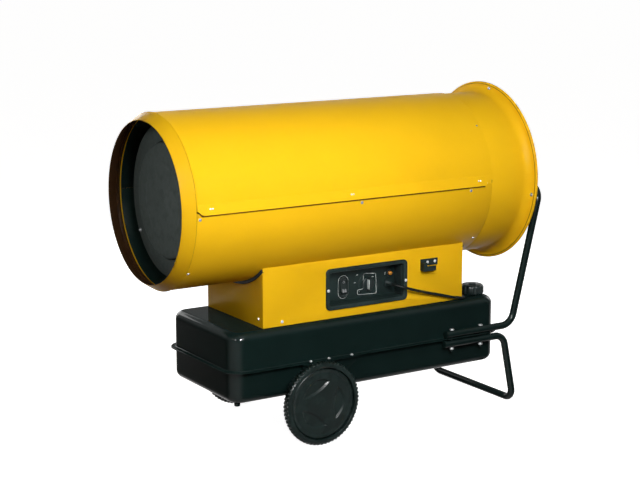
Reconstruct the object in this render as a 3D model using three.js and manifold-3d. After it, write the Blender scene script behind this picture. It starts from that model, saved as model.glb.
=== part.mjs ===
// A wheeled forced air heater: a drum body with burner and fan over a box and a fuel tank.
// Millimetres, +Z up. +X runs from the air outlet at the front to the intake at the rear, and the
// controls are on the -Y side. The origin is on the floor under the middle of the object.
import * as THREE from "three";
import { mergeVertices } from "three/addons/utils/BufferGeometryUtils.js";
import Module from "manifold-3d";

const wasm = await Module();
wasm.setup();

// ---------------------------------------------------------------------------------- sizes, mm
const GAP = 0.3; // between pieces that touch
const SHEET = 1.5; // wall of every sheet metal piece
const PLATE = 3; // wall of brackets and frame plates
const ROUND = 32; // sides of the drum and of everything on its axis

// Drum body. Stations along X count from the seam between outlet ring and shells.
const BODY_RADIUS = 250;
const BODY_LENGTH = 1000;
const BARREL_LIFT = 116; // from the tank's top to the underside of the drum
const STRIP_HEIGHT = 28; // bent-out strip on the upper shell's edge
const STRIP_PROUD = 4.5; // how far that strip stands out at its lower edge
const SHELL_LAP = 6; // height of the strip that laps over the lower shell
const RING_LENGTH = 36;
const RING_LIP_INSIDE = 19; // the ring's lip lies this much nearer the axis than the shells
const RING_PROUD = 3.5; // the ring's widest circle over the shells
const SKIRT = 14; // how far ring and intake drum reach into the shells
const INTAKE_LENGTH = 154;
const FLARE_LENGTH = 36; // curved part of the intake mouth
const FLANGE_PROUD = 30; // the mouth's lip over the shells
const FLANGE_LIP = 6; // rolled edge of the mouth
const GUARD_BEFORE = 14; // the guard's front face before the flare's start

// Combustion chamber and what stands in front of it.
const AIR_WAY = 45; // from the chamber to the shells
const CHAMBER_FRONT = 62;
const CHAMBER_LENGTH = 560;
const DEFLECTOR_INSIDE = 40; // the disc's edge lies this much nearer the axis than the chamber
const DEFLECTOR_STATION = 27;

// Burner, motor and fan, all on the drum's axis.
const BURNER_RADIUS = 52;
const BURNER_LENGTH = 92;
const MOTOR_RADIUS = 72;
const MOTOR_LENGTH = 165;
const MOTOR_FROM_REAR = 304; // its front face before the intake's mouth
const SHAFT_RADIUS = 8;
const FAN_INSIDE = 14; // the blade tips lie this much nearer the axis than the shells
const FAN_FROM_REAR = 84; // mid plane of the blades before the intake's mouth
const FAN_BLADES = 6;
const HUB_RADIUS = 55;
const HUB_WIDTH = 46;
const PUMP_RADIUS = 36;
const PUMP_LENGTH = 62;

// Box between drum and tank.
const BOX_FRONT = 251;
const BOX_BEFORE_REAR = 41; // its rear end before the shells' rear end
const BOX_WIDTH = 330;
const SEAL_WIDTH = 9;
const SEAL_HEIGHT = 7;

// Control tray and what is on it. Places along X count from the box's front end, and heights from
// the tank's top.
const TRAY_LEFT = 211;
const TRAY_WIDTH = 288;
const TRAY_LOW = 25;
const TRAY_UNDER = 9.5; // from the tray's tub to the drum above it
const TRAY_PROUD = 5;
const TRAY_DEPTH = 42; // from the side panel's face to the tray's floor
const TRAY_RIM = 14;
const TRAY_WALL = 2.5;
const SWITCH_AT = [299, 78];
const SWITCH_SIZE = [32, 66]; // oval bezel
const ROCKER_SIZE = [20, 42];
const ROCKER_TILT = 10; // degrees either way; it rests with its lower half out
const SELECTOR_AT = [386, 78];
const SELECTOR_RADIUS = 21;
const SELECTOR_HEIGHT = 17;
const RESET_AT = [463, 103];
const RESET_RADIUS = 6;
const RESET_TRAVEL = 3;
const GLAND_AT = [456, 73];

// Cable bracket on the side panel.
const BRACKET_AT = [548, 107];
const BRACKET_SIZE = [62, 34];

// Fuel tank: two pressed halves with a weld flange round the seam.
const TANK_FRONT = 137;
const TANK_BEHIND = 77; // its rear behind the shells' rear end
const TANK_WIDTH = 384;
const TANK_LOWER = 95;
const TANK_UPPER = 110;
const TANK_CORNER = 45; // upright edges
const TANK_EDGE = 24; // top and bottom edges
const TANK_WALL = 2;
const WELD_FLANGE = 15;
const NECK_RADIUS = 26;
const NECK_HEIGHT = 14;
const NECK_FROM_REAR = 45;
const NECK_SIDE = -122;
const CAP_RADIUS = 36;
const CAP_HEIGHT = 30;
const DRAIN_RADIUS = 5;

// Wheels, axle, handle and stand.
const WHEEL_RADIUS = 125;
const WHEEL_WIDTH = 44;
const WHEEL_GAP = 4.6; // from the weld flange to the wheel
const AXLE_RADIUS = 10;
const AXLE_UNDER = 8; // from the axle to the tank's floor
const AXLE_FROM_FRONT = 262; // behind the tank's front
const TUBE_RADIUS = 11;
const TUBE_WALL = 2;
const TUBE_CLEAR = 5; // from the tank's side to the tubes
const TUBE_BEND = 46;
const HANDLE_FROM_REAR = 210; // front ends of the tubes before the tank's rear
const HANDLE_BEHIND = 43; // corner of the handle behind the tank's rear
const HANDLE_LEAN = 13.8;
const HANDLE_TOP = 680;
const STAND_BEHIND = 13;
const STAND_LEAN = 11.8;
const BOLTS_FROM_REAR = [187, 77]; // frame bolts before the tank's rear
const BOLT_RADIUS = 4;

// Supply cord.
const CORD = 8; // diameter
const COIL_PITCH = 8.6; // from one turn to the next, beside and above each other
const COIL_TURNS = 4; // two layers of two
const COIL_RADIUS = 48.5; // of the outermost turn
const COIL_STEPS = 24; // a turn
const PLUG_RADIUS = 18;
const PLUG_LENGTH = 46;

// --------------------------------------------------------------------------- values from these
const RING_LIP_RADIUS = BODY_RADIUS - RING_LIP_INSIDE;
const FLANGE_RADIUS = BODY_RADIUS + FLANGE_PROUD;
const CHAMBER_RADIUS = BODY_RADIUS - AIR_WAY;
const DEFLECTOR_RADIUS = CHAMBER_RADIUS - DEFLECTOR_INSIDE;
const FAN_RADIUS = BODY_RADIUS - FAN_INSIDE;
const AXLE_Z = WHEEL_RADIUS;
const TANK_BOTTOM = AXLE_Z + AXLE_RADIUS + AXLE_UNDER;
const SEAM_Z = TANK_BOTTOM + TANK_LOWER;
const TANK_TOP = SEAM_Z + TANK_UPPER;
const AXIS_Z = TANK_TOP + BARREL_LIFT + BODY_RADIUS;
const TANK_REAR = BODY_LENGTH + TANK_BEHIND;
const TANK_SIDE = TANK_WIDTH / 2;
const BOX_REAR = BODY_LENGTH - BOX_BEFORE_REAR;
const BOX_SIDE = BOX_WIDTH / 2;
const INTAKE_REAR = BODY_LENGTH + INTAKE_LENGTH;
const MOTOR_FRONT = INTAKE_REAR - MOTOR_FROM_REAR;
const FAN_STATION = INTAKE_REAR - FAN_FROM_REAR;
const AXLE_STATION = TANK_FRONT + AXLE_FROM_FRONT;
const HANDLE_FRONT = TANK_REAR - HANDLE_FROM_REAR;
const FRAME_BOLTS = BOLTS_FROM_REAR.map((before) => TANK_REAR - before);
const WHEEL_INNER = TANK_SIDE + WELD_FLANGE + WHEEL_GAP;
const WHEEL_Y = WHEEL_INNER + WHEEL_WIDTH / 2;
const TUBE_Y = TANK_SIDE + TUBE_CLEAR + TUBE_RADIUS;
const FLANGE_TOP = SEAM_Z + TANK_WALL;
const FLANGE_UNDER = SEAM_Z - TANK_WALL;
const HANDLE_Z = FLANGE_TOP + PLATE + 2 * GAP + TUBE_RADIUS;
const STAND_Z = FLANGE_UNDER - GAP - TUBE_RADIUS;
const HANDLE_CORNER = TANK_REAR + HANDLE_BEHIND;
const HANDLE_REAR = HANDLE_CORNER + (HANDLE_TOP - HANDLE_Z) * Math.tan(rad(HANDLE_LEAN)) + TUBE_RADIUS;
const PUMP_FRONT = MOTOR_FRONT - GAP - PUMP_LENGTH;
const LINE_X = PUMP_FRONT + 27; // where the fuel line reaches the pump's port
const MIDDLE = (HANDLE_REAR - RING_LENGTH) / 2; // the origin's station along X

const YELLOW = { color: 0xf2c41a, roughness: 0.35, metalness: 0.0 };
const BLACK_PAINT = { color: 0x15181a, roughness: 0.25, metalness: 0.0 };
const BLACK_PLASTIC = { color: 0x23272a, roughness: 0.6, metalness: 0.0 };
const WHEEL_PLASTIC = { color: 0x2d3133, roughness: 0.7, metalness: 0.0 };
const STEEL = { color: 0x8f9496, roughness: 0.45, metalness: 0.9 };
const ZINC = { color: 0xc9cdd0, roughness: 0.3, metalness: 0.9 };
const BLACK_RUBBER = { color: 0x141414, roughness: 0.85, metalness: 0.0 };
const AMBER = { color: 0xd08a1e, roughness: 0.2, metalness: 0.0 };
const GREY_PLASTIC = { color: 0x6b7074, roughness: 0.6, metalness: 0.0 };
const COPPER = { color: 0xb06a3c, roughness: 0.35, metalness: 0.9 };

// ------------------------------------------------------------------------------------ helpers
function rad(degrees) {
  return (degrees * Math.PI) / 180;
}

// A closed geometry as a solid with its faces pointing out.
function solidOf(geometry) {
  const loose = geometry.index ? geometry.toNonIndexed() : geometry;
  const bare = new THREE.BufferGeometry();
  bare.setAttribute("position", loose.getAttribute("position"));
  const merged = mergeVertices(bare, 1e-3);
  const index = merged.index.array;
  const make = (flip) => {
    const triangles = [];
    for (let i = 0; i < index.length; i += 3) {
      const [a, b, c] = [index[i], index[i + 1], index[i + 2]];
      if (a !== b && b !== c && c !== a) triangles.push(a, flip ? c : b, flip ? b : c);
    }
    const mesh = { numProp: 3, vertProperties: merged.attributes.position.array };
    return new wasm.Manifold(new wasm.Mesh({ ...mesh, triVerts: new Uint32Array(triangles) }));
  };
  const solid = make(false);
  return solid.volume() < 0 ? make(true) : solid;
}

function geometryOf(solid) {
  const mesh = solid.getMesh();
  const geometry = new THREE.BufferGeometry();
  const places = new Float32Array(mesh.numVert * 3);
  for (let i = 0; i < mesh.numVert; i += 1) {
    places.set(mesh.vertProperties.subarray(i * mesh.numProp, i * mesh.numProp + 3), i * 3);
  }
  geometry.setAttribute("position", new THREE.BufferAttribute(places, 3));
  geometry.setIndex(new THREE.BufferAttribute(new Uint32Array(mesh.triVerts), 1));
  geometry.computeVertexNormals();
  return geometry;
}

const join = (first, ...rest) => rest.reduce((sum, next) => sum.add(next), first);
const cut = (first, ...rest) => rest.reduce((left, next) => left.subtract(next), first);

function block([x0, x1], [y0, y1], [z0, z1]) {
  const geometry = new THREE.BoxGeometry(x1 - x0, y1 - y0, z1 - z0);
  return solidOf(geometry.translate((x0 + x1) / 2, (y0 + y1) / 2, (z0 + z1) / 2));
}

// A round piece about the drum's axis: the profile is [station, radius] pairs, first to last.
function onAxis(profile, sides = ROUND) {
  return turned(profile, new THREE.Vector3(0, 0, AXIS_Z), new THREE.Vector3(1, 0, 0), sides);
}

// A profile of [distance along the axis, radius] pairs turned about an axis through a place. A flat
// facet faces down when half a side's turn is asked for.
function turned(profile, place, axis, sides, halfTurn = false) {
  const outline = profile.map(([along, radius]) => new THREE.Vector2(radius, along));
  const geometry = new THREE.LatheGeometry(outline, sides, halfTurn ? Math.PI / sides : 0);
  const turn = new THREE.Quaternion().setFromUnitVectors(new THREE.Vector3(0, 1, 0), axis);
  return solidOf(geometry.applyQuaternion(turn).translate(place.x, place.y, place.z));
}

// Repeats a profile's first point at its end, so that a hollow turned piece closes on itself.
const ringed = (profile) => [...profile, profile[0]];

function outline(points) {
  return new THREE.Shape(points.map(([a, b]) => new THREE.Vector2(a, b)));
}

// An outline in Y and Z, drawn along X.
function alongX(shape, x0, x1) {
  const geometry = new THREE.ExtrudeGeometry(shape, { depth: x1 - x0, bevelEnabled: false });
  const basis = new THREE.Matrix4().makeBasis(
    new THREE.Vector3(0, 1, 0),
    new THREE.Vector3(0, 0, 1),
    new THREE.Vector3(1, 0, 0),
  );
  return solidOf(geometry.applyMatrix4(basis).translate(x0, 0, 0));
}

// An outline in X and Z, drawn along Y.
function alongY(shape, y0, y1) {
  const geometry = new THREE.ExtrudeGeometry(shape, { depth: y1 - y0, bevelEnabled: false });
  const basis = new THREE.Matrix4().makeBasis(
    new THREE.Vector3(1, 0, 0),
    new THREE.Vector3(0, 0, 1),
    new THREE.Vector3(0, -1, 0),
  );
  return solidOf(geometry.applyMatrix4(basis).translate(0, y1, 0));
}

function rod(from, to, radius, sides = 8) {
  const [a, b] = [new THREE.Vector3(...from), new THREE.Vector3(...to)];
  const way = b.clone().sub(a);
  const profile = [[0, 0], [0, radius], [way.length(), radius], [way.length(), 0]];
  return turned(profile, a, way.normalize(), sides, true);
}

// A path whose stations are used one for one by an extrusion along it.
class StationPath extends THREE.Curve {
  constructor(stations) {
    super();
    this.stations = stations;
  }

  getPointAt(u, target = new THREE.Vector3()) {
    return target.copy(this.stations[Math.round(u * (this.stations.length - 1))]);
  }

  getPoint(t, target) {
    return this.getPointAt(t, target);
  }

  getTangentAt(u, target = new THREE.Vector3()) {
    const last = this.stations.length - 1;
    const i = Math.round(u * last);
    const before = this.stations[i].clone().sub(this.stations[Math.max(i - 1, 0)]).normalize();
    const after = this.stations[Math.min(i + 1, last)].clone().sub(this.stations[i]).normalize();
    return target.copy(before).add(after).normalize();
  }
}

// A bar or tube through its stations. A wall makes it hollow, with its ends open.
function tube(stations, radius, sides, wall = 0) {
  const ring = (r, n) =>
    Array.from({ length: n }, (_, i) => {
      const turn = ((i + 0.5) / n) * 2 * Math.PI;
      return new THREE.Vector2(r * Math.cos(turn), r * Math.sin(turn));
    });
  const section = new THREE.Shape(ring(radius, sides));
  if (wall > 0) section.holes.push(new THREE.Path(ring(radius - wall, 4)));
  const settings = { steps: stations.length - 1, extrudePath: new StationPath(stations) };
  return solidOf(new THREE.ExtrudeGeometry(section, settings));
}

// Stations along straight runs with an arc at each inner corner.
function bent(corners, radius, stepsPerBend) {
  const points = corners.map((c) => new THREE.Vector3(...c));
  const stations = [points[0]];
  for (let i = 1; i < points.length - 1; i += 1) {
    const back = points[i - 1].clone().sub(points[i]).normalize();
    const on = points[i + 1].clone().sub(points[i]).normalize();
    const half = back.angleTo(on) / 2;
    const centre = back.clone().add(on).normalize().multiplyScalar(radius / Math.sin(half)).add(points[i]);
    const first = back.clone().multiplyScalar(radius / Math.tan(half)).add(points[i]).sub(centre);
    const last = on.clone().multiplyScalar(radius / Math.tan(half)).add(points[i]).sub(centre);
    const axis = first.clone().cross(last).normalize();
    const sweep = first.angleTo(last);
    for (let k = 0; k <= stepsPerBend; k += 1) {
      stations.push(first.clone().applyAxisAngle(axis, (sweep * k) / stepsPerBend).add(centre));
    }
  }
  return [...stations, points.at(-1)];
}

// Points of a rectangle with round corners, in the plane at a height.
function roundedRing(x0, x1, half, corner, z, steps = 3) {
  const points = [];
  const centres = [
    [x1 - corner, half - corner, 0],
    [x0 + corner, half - corner, 90],
    [x0 + corner, corner - half, 180],
    [x1 - corner, corner - half, 270],
  ];
  for (const [cx, cy, start] of centres) {
    for (let i = 0; i <= steps; i += 1) {
      const turn = rad(start + (90 * i) / steps);
      points.push(new THREE.Vector3(cx + corner * Math.cos(turn), cy + corner * Math.sin(turn), z));
    }
  }
  return points;
}

// A closed body through rings that have the same number of points.
function lofted(rings) {
  const places = [];
  const triangle = (a, b, c) => places.push(...a.toArray(), ...b.toArray(), ...c.toArray());
  const lid = (ring, last) => {
    const centre = ring.reduce((sum, p) => sum.add(p), new THREE.Vector3()).divideScalar(ring.length);
    ring.forEach((p, i) => {
      const q = ring[(i + 1) % ring.length];
      if (last) triangle(centre, p, q);
      else triangle(centre, q, p);
    });
  };
  lid(rings[0], false);
  for (let k = 1; k < rings.length; k += 1) {
    rings[k].forEach((p, i) => {
      const next = (i + 1) % rings[k].length;
      const [a, b, c] = [rings[k - 1][i], rings[k - 1][next], rings[k][next]];
      triangle(a, b, c);
      triangle(a, c, p);
    });
  }
  lid(rings.at(-1), true);
  const geometry = new THREE.BufferGeometry();
  geometry.setAttribute("position", new THREE.Float32BufferAttribute(places, 3));
  return solidOf(geometry);
}

// ----------------------------------------------------------------------------------- assembly
const heater = new THREE.Group();
heater.name = "forced_air_heater";
const assembly = new THREE.Group();
assembly.position.x = -MIDDLE;
heater.add(assembly);

function add(name, solid, finish) {
  const mesh = new THREE.Mesh(geometryOf(solid), new THREE.MeshStandardMaterial(finish));
  mesh.name = name;
  assembly.add(mesh);
  return mesh;
}

// ----------------------------------------------------------------------------------- drum body
// An arc of sheet about the axis, from one angle to another, counted from straight up.
function arcPoints(radius, from, to) {
  const step = 360 / ROUND;
  const marks = [from];
  for (let a = Math.ceil(from / step + 0.01) * step; a < to - 0.01; a += step) marks.push(a);
  marks.push(to);
  return marks.map((a) => {
    const turn = rad(a);
    const facet = rad(step / 2);
    const off = rad(((a % step) + step) % step) - facet;
    const reach = (radius * Math.cos(facet)) / Math.cos(off);
    return [reach * Math.sin(turn), AXIS_Z + reach * Math.cos(turn)];
  });
}

const STRIP_START = 90 - THREE.MathUtils.radToDeg(Math.asin((STRIP_HEIGHT - 3) / BODY_RADIUS));
const LAP_ANGLE = 90 - THREE.MathUtils.radToDeg(Math.asin((SHELL_LAP - 3) / BODY_RADIUS));

function upperShell() {
  const strip = (radius, side) => {
    const [, z] = arcPoints(radius, STRIP_START, STRIP_START + 0.1)[0];
    return [side * (radius + STRIP_PROUD), z - STRIP_HEIGHT];
  };
  const outer = arcPoints(BODY_RADIUS, -STRIP_START, STRIP_START);
  const inner = arcPoints(BODY_RADIUS - SHEET, -STRIP_START, STRIP_START).reverse();
  const profile = [
    strip(BODY_RADIUS, -1),
    ...outer,
    strip(BODY_RADIUS, 1),
    strip(BODY_RADIUS - SHEET, 1),
    ...inner,
    strip(BODY_RADIUS - SHEET, -1),
  ];
  const shell = alongX(outline(profile), 0, BODY_LENGTH);
  const notch = (side) => {
    const y = [BODY_RADIUS - 8, BODY_RADIUS + 8].map((v) => v * side).sort((a, b) => a - b);
    const low = AXIS_Z - 3; // the strip's lower edge
    const front = outline([[-1, low - 1], [18, low - 1], [18, low], [0, low + 12], [-1, low + 12]]);
    const [end, past] = [BODY_LENGTH - 27, BODY_LENGTH + 1];
    const rear = outline([[end, low - 1], [past, low - 1], [past, low + 16], [end + 12, low + 16],
      [end, low]]);
    return join(alongY(front, y[0], y[1]), alongY(rear, y[0], y[1]));
  };
  return cut(shell, notch(-1), notch(1));
}

function lowerShell() {
  const edge = LAP_ANGLE;
  const outer = arcPoints(BODY_RADIUS, edge, 360 - edge);
  const inner = arcPoints(BODY_RADIUS - SHEET, edge, 360 - edge).reverse();
  const shell = alongX(outline([...outer, ...inner]), 0, BODY_LENGTH);
  const under = AXIS_Z - BODY_RADIUS;
  const slot = block([LINE_X - 25, LINE_X + 25], [-30, 30], [under - 5, under + 15]);
  return cut(shell, slot);
}

// The cone ring at the outlet: a rolled lip, the cone, a step back and a skirt inside the shells.
function outletRing() {
  const wide = BODY_RADIUS + RING_PROUD;
  const skirt = BODY_RADIUS - SHEET - GAP;
  return onAxis(ringed([
    [-RING_LENGTH, RING_LIP_RADIUS - SHEET],
    [-RING_LENGTH, RING_LIP_RADIUS + 1],
    [-RING_LENGTH + 3, RING_LIP_RADIUS + 3.5],
    [-3, wide],
    [-GAP, wide],
    [-GAP, skirt],
    [SKIRT, skirt],
    [SKIRT, skirt - SHEET],
    [-GAP - SHEET, skirt - SHEET],
    [-GAP - SHEET, wide - SHEET],
    [-RING_LENGTH + 4, RING_LIP_RADIUS + 1],
  ]));
}

// The intake drum: a short drum inside the shells' rear end, a flare and a flat lipped mouth.
function intakeDrum() {
  const inside = BODY_RADIUS - SHEET - GAP;
  const start = INTAKE_REAR - FLARE_LENGTH;
  const rise = FLANGE_RADIUS - inside;
  const curve = (inset) =>
    [0.4, 0.7, 0.93].map((t) => {
      const turn = (t * Math.PI) / 2;
      const along = start + (FLARE_LENGTH - 8) * Math.sin(turn) + inset * Math.sin(turn) * 0.7;
      return [along, inside + (rise - 8) * (1 - Math.cos(turn)) - inset * Math.cos(turn) * 0.7];
    });
  return onAxis(ringed([
    [BODY_LENGTH - SKIRT, inside],
    [start, inside],
    ...curve(0),
    [INTAKE_REAR - 6, FLANGE_RADIUS - 3],
    [INTAKE_REAR - 4, FLANGE_RADIUS],
    [INTAKE_REAR, FLANGE_RADIUS],
    [INTAKE_REAR, FLANGE_RADIUS - FLANGE_LIP],
    ...curve(2 * SHEET).reverse(),
    [start, inside - SHEET],
    [BODY_LENGTH - SKIRT, inside - SHEET],
  ]));
}

// The wire guard over the mouth: rings on four spokes, which are clipped inside the flare.
function intakeGuard() {
  const wire = 2.5;
  const x0 = INTAKE_REAR - FLARE_LENGTH - GUARD_BEFORE;
  const inside = BODY_RADIUS - 2 * SHEET - 2 * GAP;
  const hub = 45;
  const rings = [1, 2, 3, 4].map((i) => {
    const radius = hub + ((inside - wire - hub) * i) / 4;
    const profile = [[x0, radius - wire], [x0, radius + wire], [x0 + 2 * wire, radius]];
    return onAxis(ringed(profile), i === 4 ? ROUND : ROUND / 2);
  });
  const spokes = [45, 135, 225, 315].map((angle) => {
    const [s, c] = [Math.sin(rad(angle)), Math.cos(rad(angle))];
    const x = x0 + wire;
    const reach = inside - wire;
    const start = hub - 5;
    return rod([x, start * s, AXIS_Z + start * c], [x, reach * s, AXIS_Z + reach * c], 2.4, 4);
  });
  const centre = onAxis([[x0, 0], [x0, hub], [x0 + 4, hub], [x0 + 4, 0]], 16);
  return join(centre, ...rings, ...spokes);
}

add("upper_shell", upperShell(), YELLOW);
add("lower_shell", lowerShell(), YELLOW);
add("outlet_ring", outletRing(), YELLOW);
add("intake_drum", intakeDrum(), YELLOW);
add("intake_guard", intakeGuard(), ZINC);

// ------------------------------------------------------------------------------ inside the drum
const CHAMBER_REAR = CHAMBER_FRONT + CHAMBER_LENGTH;
const BURNER_FRONT = CHAMBER_REAR - 38;

// The chamber: a can with a ring in front, and a hole behind that the burner head goes through.
function combustionChamber() {
  return onAxis(ringed([
    [CHAMBER_FRONT, DEFLECTOR_RADIUS - 12],
    [CHAMBER_FRONT, CHAMBER_RADIUS],
    [CHAMBER_REAR, CHAMBER_RADIUS],
    [CHAMBER_REAR, BURNER_RADIUS + GAP],
    [CHAMBER_REAR - 2, BURNER_RADIUS + GAP],
    [CHAMBER_REAR - 2, CHAMBER_RADIUS - 2],
    [CHAMBER_FRONT + 2, CHAMBER_RADIUS - 2],
    [CHAMBER_FRONT + 2, DEFLECTOR_RADIUS - 12],
  ]));
}

// The disc in front of the chamber, with three bent feet that reach back to its ring.
function deflectorDisc() {
  const disc = onAxis([
    [DEFLECTOR_STATION, 0],
    [DEFLECTOR_STATION, DEFLECTOR_RADIUS - 4],
    [DEFLECTOR_STATION + 4, DEFLECTOR_RADIUS],
    [DEFLECTOR_STATION + 10, DEFLECTOR_RADIUS],
    [DEFLECTOR_STATION + 10, DEFLECTOR_RADIUS - SHEET],
    [DEFLECTOR_STATION + 5, DEFLECTOR_RADIUS - SHEET],
    [DEFLECTOR_STATION + 1.5, DEFLECTOR_RADIUS - 5],
    [DEFLECTOR_STATION + 1.5, 0],
  ]);
  const feet = [30, 150, 270].map((angle) => {
    const foot = block(
      [DEFLECTOR_STATION + 5, CHAMBER_FRONT - GAP],
      [-9, 9],
      [DEFLECTOR_RADIUS - 3, DEFLECTOR_RADIUS - 0.8],
    );
    return foot.rotate([-angle, 0, 0]).translate([0, 0, AXIS_Z]);
  });
  return join(disc, ...feet);
}

// A band round the chamber with three legs that stand on the shells.
function chamberBracket(station) {
  const band = onAxis(ringed([
    [station, CHAMBER_RADIUS + GAP],
    [station, CHAMBER_RADIUS + GAP + 2],
    [station + 22, CHAMBER_RADIUS + GAP + 2],
    [station + 22, CHAMBER_RADIUS + GAP],
  ]));
  const reach = (BODY_RADIUS - SHEET) * Math.cos(Math.PI / ROUND) - 0.4;
  const foot = (CHAMBER_RADIUS + 1.3) * Math.cos(Math.PI / ROUND);
  const legs = [90, 180, 270].map((angle) =>
    block([station + 2, station + 20], [-PLATE / 2, PLATE / 2], [foot, reach])
      .rotate([-angle + 180 / ROUND, 0, 0])
      .translate([0, 0, AXIS_Z]),
  );
  return join(band, ...legs);
}

function burnerHead() {
  const rear = BURNER_FRONT + BURNER_LENGTH;
  const can = onAxis(ringed([
    [BURNER_FRONT, BURNER_RADIUS - 2],
    [BURNER_FRONT, BURNER_RADIUS],
    [CHAMBER_REAR + GAP, BURNER_RADIUS],
    [CHAMBER_REAR + GAP, BURNER_RADIUS + 14],
    [CHAMBER_REAR + GAP + 3, BURNER_RADIUS + 14],
    [CHAMBER_REAR + GAP + 3, BURNER_RADIUS],
    [rear, BURNER_RADIUS],
    [rear, 12],
    [rear - 2, 12],
    [rear - 2, BURNER_RADIUS - 2],
  ]), ROUND / 2);
  const vents = [0, 60, 120, 180, 240, 300].map((angle) =>
    block([rear - 6, rear + 4], [-6, 6], [22, 40]).rotate([-angle, 0, 0]).translate([0, 0, AXIS_Z]),
  );
  return cut(can, ...vents);
}

function fuelNozzle() {
  const rear = BURNER_FRONT + BURNER_LENGTH;
  return onAxis([
    [rear - 70, 0],
    [rear - 70, 4],
    [rear - 60, 9],
    [rear - 40, 9],
    [rear - 36, 12 - GAP],
    [rear + 8, 12 - GAP],
    [rear + 8, 0],
  ], 12);
}

function electrodes() {
  const rear = BURNER_FRONT + BURNER_LENGTH;
  const clip = block([rear - 30, rear - 22], [-22, 22], [AXIS_Z + 12, AXIS_Z + 16]);
  const pins = [-16, 16].map((y) => {
    const tip = [rear - 76, y / 4, AXIS_Z + 13];
    return tube(bent([tip, [rear - 62, y, AXIS_Z + 14], [rear - 10, y, AXIS_Z + 14]], 6, 3), 2.2, 6);
  });
  return join(clip, ...pins);
}

function fanMotor() {
  const rear = MOTOR_FRONT + MOTOR_LENGTH;
  const bore = SHAFT_RADIUS + GAP;
  const body = onAxis(ringed([
    [MOTOR_FRONT, bore],
    [MOTOR_FRONT, 30],
    [MOTOR_FRONT + 12, MOTOR_RADIUS - 8],
    [MOTOR_FRONT + 22, MOTOR_RADIUS],
    [rear - 22, MOTOR_RADIUS],
    [rear - 12, MOTOR_RADIUS - 8],
    [rear, 30],
    [rear, bore],
  ]), ROUND / 2);
  const terminal = block([MOTOR_FRONT + 50, MOTOR_FRONT + 115], [-30, 30],
    [AXIS_Z - MOTOR_RADIUS - 22, AXIS_Z - MOTOR_RADIUS + 6]);
  return join(body, cut(terminal, onAxis([[MOTOR_FRONT, 0], [MOTOR_FRONT, 40], [rear, 40], [rear, 0]], 24)));
}

// A band round the motor with four arms to the shells.
function motorBracket() {
  const x0 = MOTOR_FRONT + 28;
  const band = onAxis(ringed([
    [x0, MOTOR_RADIUS + GAP],
    [x0, MOTOR_RADIUS + GAP + PLATE],
    [x0 + 18, MOTOR_RADIUS + GAP + PLATE],
    [x0 + 18, MOTOR_RADIUS + GAP],
  ]), ROUND / 2);
  const reach = (BODY_RADIUS - SHEET) * Math.cos(Math.PI / ROUND) - 0.4;
  const arms = [45, 135, 225, 315].map((angle) =>
    block([x0 + 1, x0 + 17], [-PLATE / 2, PLATE / 2], [(MOTOR_RADIUS + 2) * Math.cos(Math.PI / ROUND), reach])
      .rotate([-angle + 180 / ROUND, 0, 0])
      .translate([0, 0, AXIS_Z]),
  );
  return join(band, ...arms);
}

function motorShaft() {
  const front = PUMP_FRONT + 20;
  const rear = FAN_STATION + HUB_WIDTH / 2 + 6;
  return onAxis([[front, 0], [front, SHAFT_RADIUS], [rear, SHAFT_RADIUS], [rear, 0]], 12);
}

function fanImpeller() {
  const [x0, x1] = [FAN_STATION - HUB_WIDTH / 2, FAN_STATION + HUB_WIDTH / 2];
  const hub = onAxis(ringed([
    [x0, SHAFT_RADIUS + GAP],
    [x0, HUB_RADIUS],
    [x1 - 8, HUB_RADIUS],
    [x1, HUB_RADIUS - 14],
    [x1, SHAFT_RADIUS + GAP],
  ]), 24);
  const blade = (turn) => {
    const sections = [HUB_RADIUS - 5, (HUB_RADIUS + FAN_RADIUS) / 2, FAN_RADIUS].map((radius, k) => {
      const pitch = rad(48 - 13 * k);
      const chord = 34 + 10 * k;
      const [c, s] = [Math.cos(pitch), Math.sin(pitch)];
      const corner = (along, thick) => {
        const across = along * c - thick * s;
        const x = FAN_STATION + along * s + thick * c;
        const angle = across / radius;
        return new THREE.Vector3(x, radius * Math.sin(angle), radius * Math.cos(angle));
      };
      const bow = 0.09 * chord;
      return [
        corner(-chord, -1),
        corner(0, bow - 1),
        corner(chord, -1),
        corner(chord, 1),
        corner(0, bow + 1),
        corner(-chord, 1),
      ];
    });
    return lofted(sections).rotate([(turn * 360) / FAN_BLADES, 0, 0]).translate([0, 0, AXIS_Z]);
  };
  const room = onAxis([[x0, 0], [x0, 40], [x1, 40], [x1, 0]], 24);
  const blades = Array.from({ length: FAN_BLADES }, (_, i) => cut(blade(i), room));
  return join(hub, ...blades);
}

function fuelPump() {
  const body = onAxis([
    [PUMP_FRONT, 0],
    [PUMP_FRONT, PUMP_RADIUS],
    [MOTOR_FRONT - GAP, PUMP_RADIUS],
    [MOTOR_FRONT - GAP, SHAFT_RADIUS + GAP],
    [PUMP_FRONT + 20 - GAP, SHAFT_RADIUS + GAP],
    [PUMP_FRONT + 20 - GAP, 0],
  ], 20);
  const under = AXIS_Z - PUMP_RADIUS;
  const port = block([LINE_X - 15, LINE_X + 15], [-14, 14], [under - 14, under + 8]);
  return join(body, port);
}

add("combustion_chamber", combustionChamber(), STEEL);
add("deflector_disc", deflectorDisc(), STEEL);
add("front_chamber_bracket", chamberBracket(CHAMBER_FRONT + 60), STEEL);
add("rear_chamber_bracket", chamberBracket(CHAMBER_REAR - 90), STEEL);
add("burner_head", burnerHead(), STEEL);
add("fuel_nozzle", fuelNozzle(), ZINC);
add("ignition_electrodes", electrodes(), ZINC);
add("fan_motor", fanMotor(), GREY_PLASTIC);
add("motor_bracket", motorBracket(), ZINC);
add("motor_shaft", motorShaft(), STEEL);
add("fan_impeller", fanImpeller(), GREY_PLASTIC);
add("fuel_pump", fuelPump(), ZINC);

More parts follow.
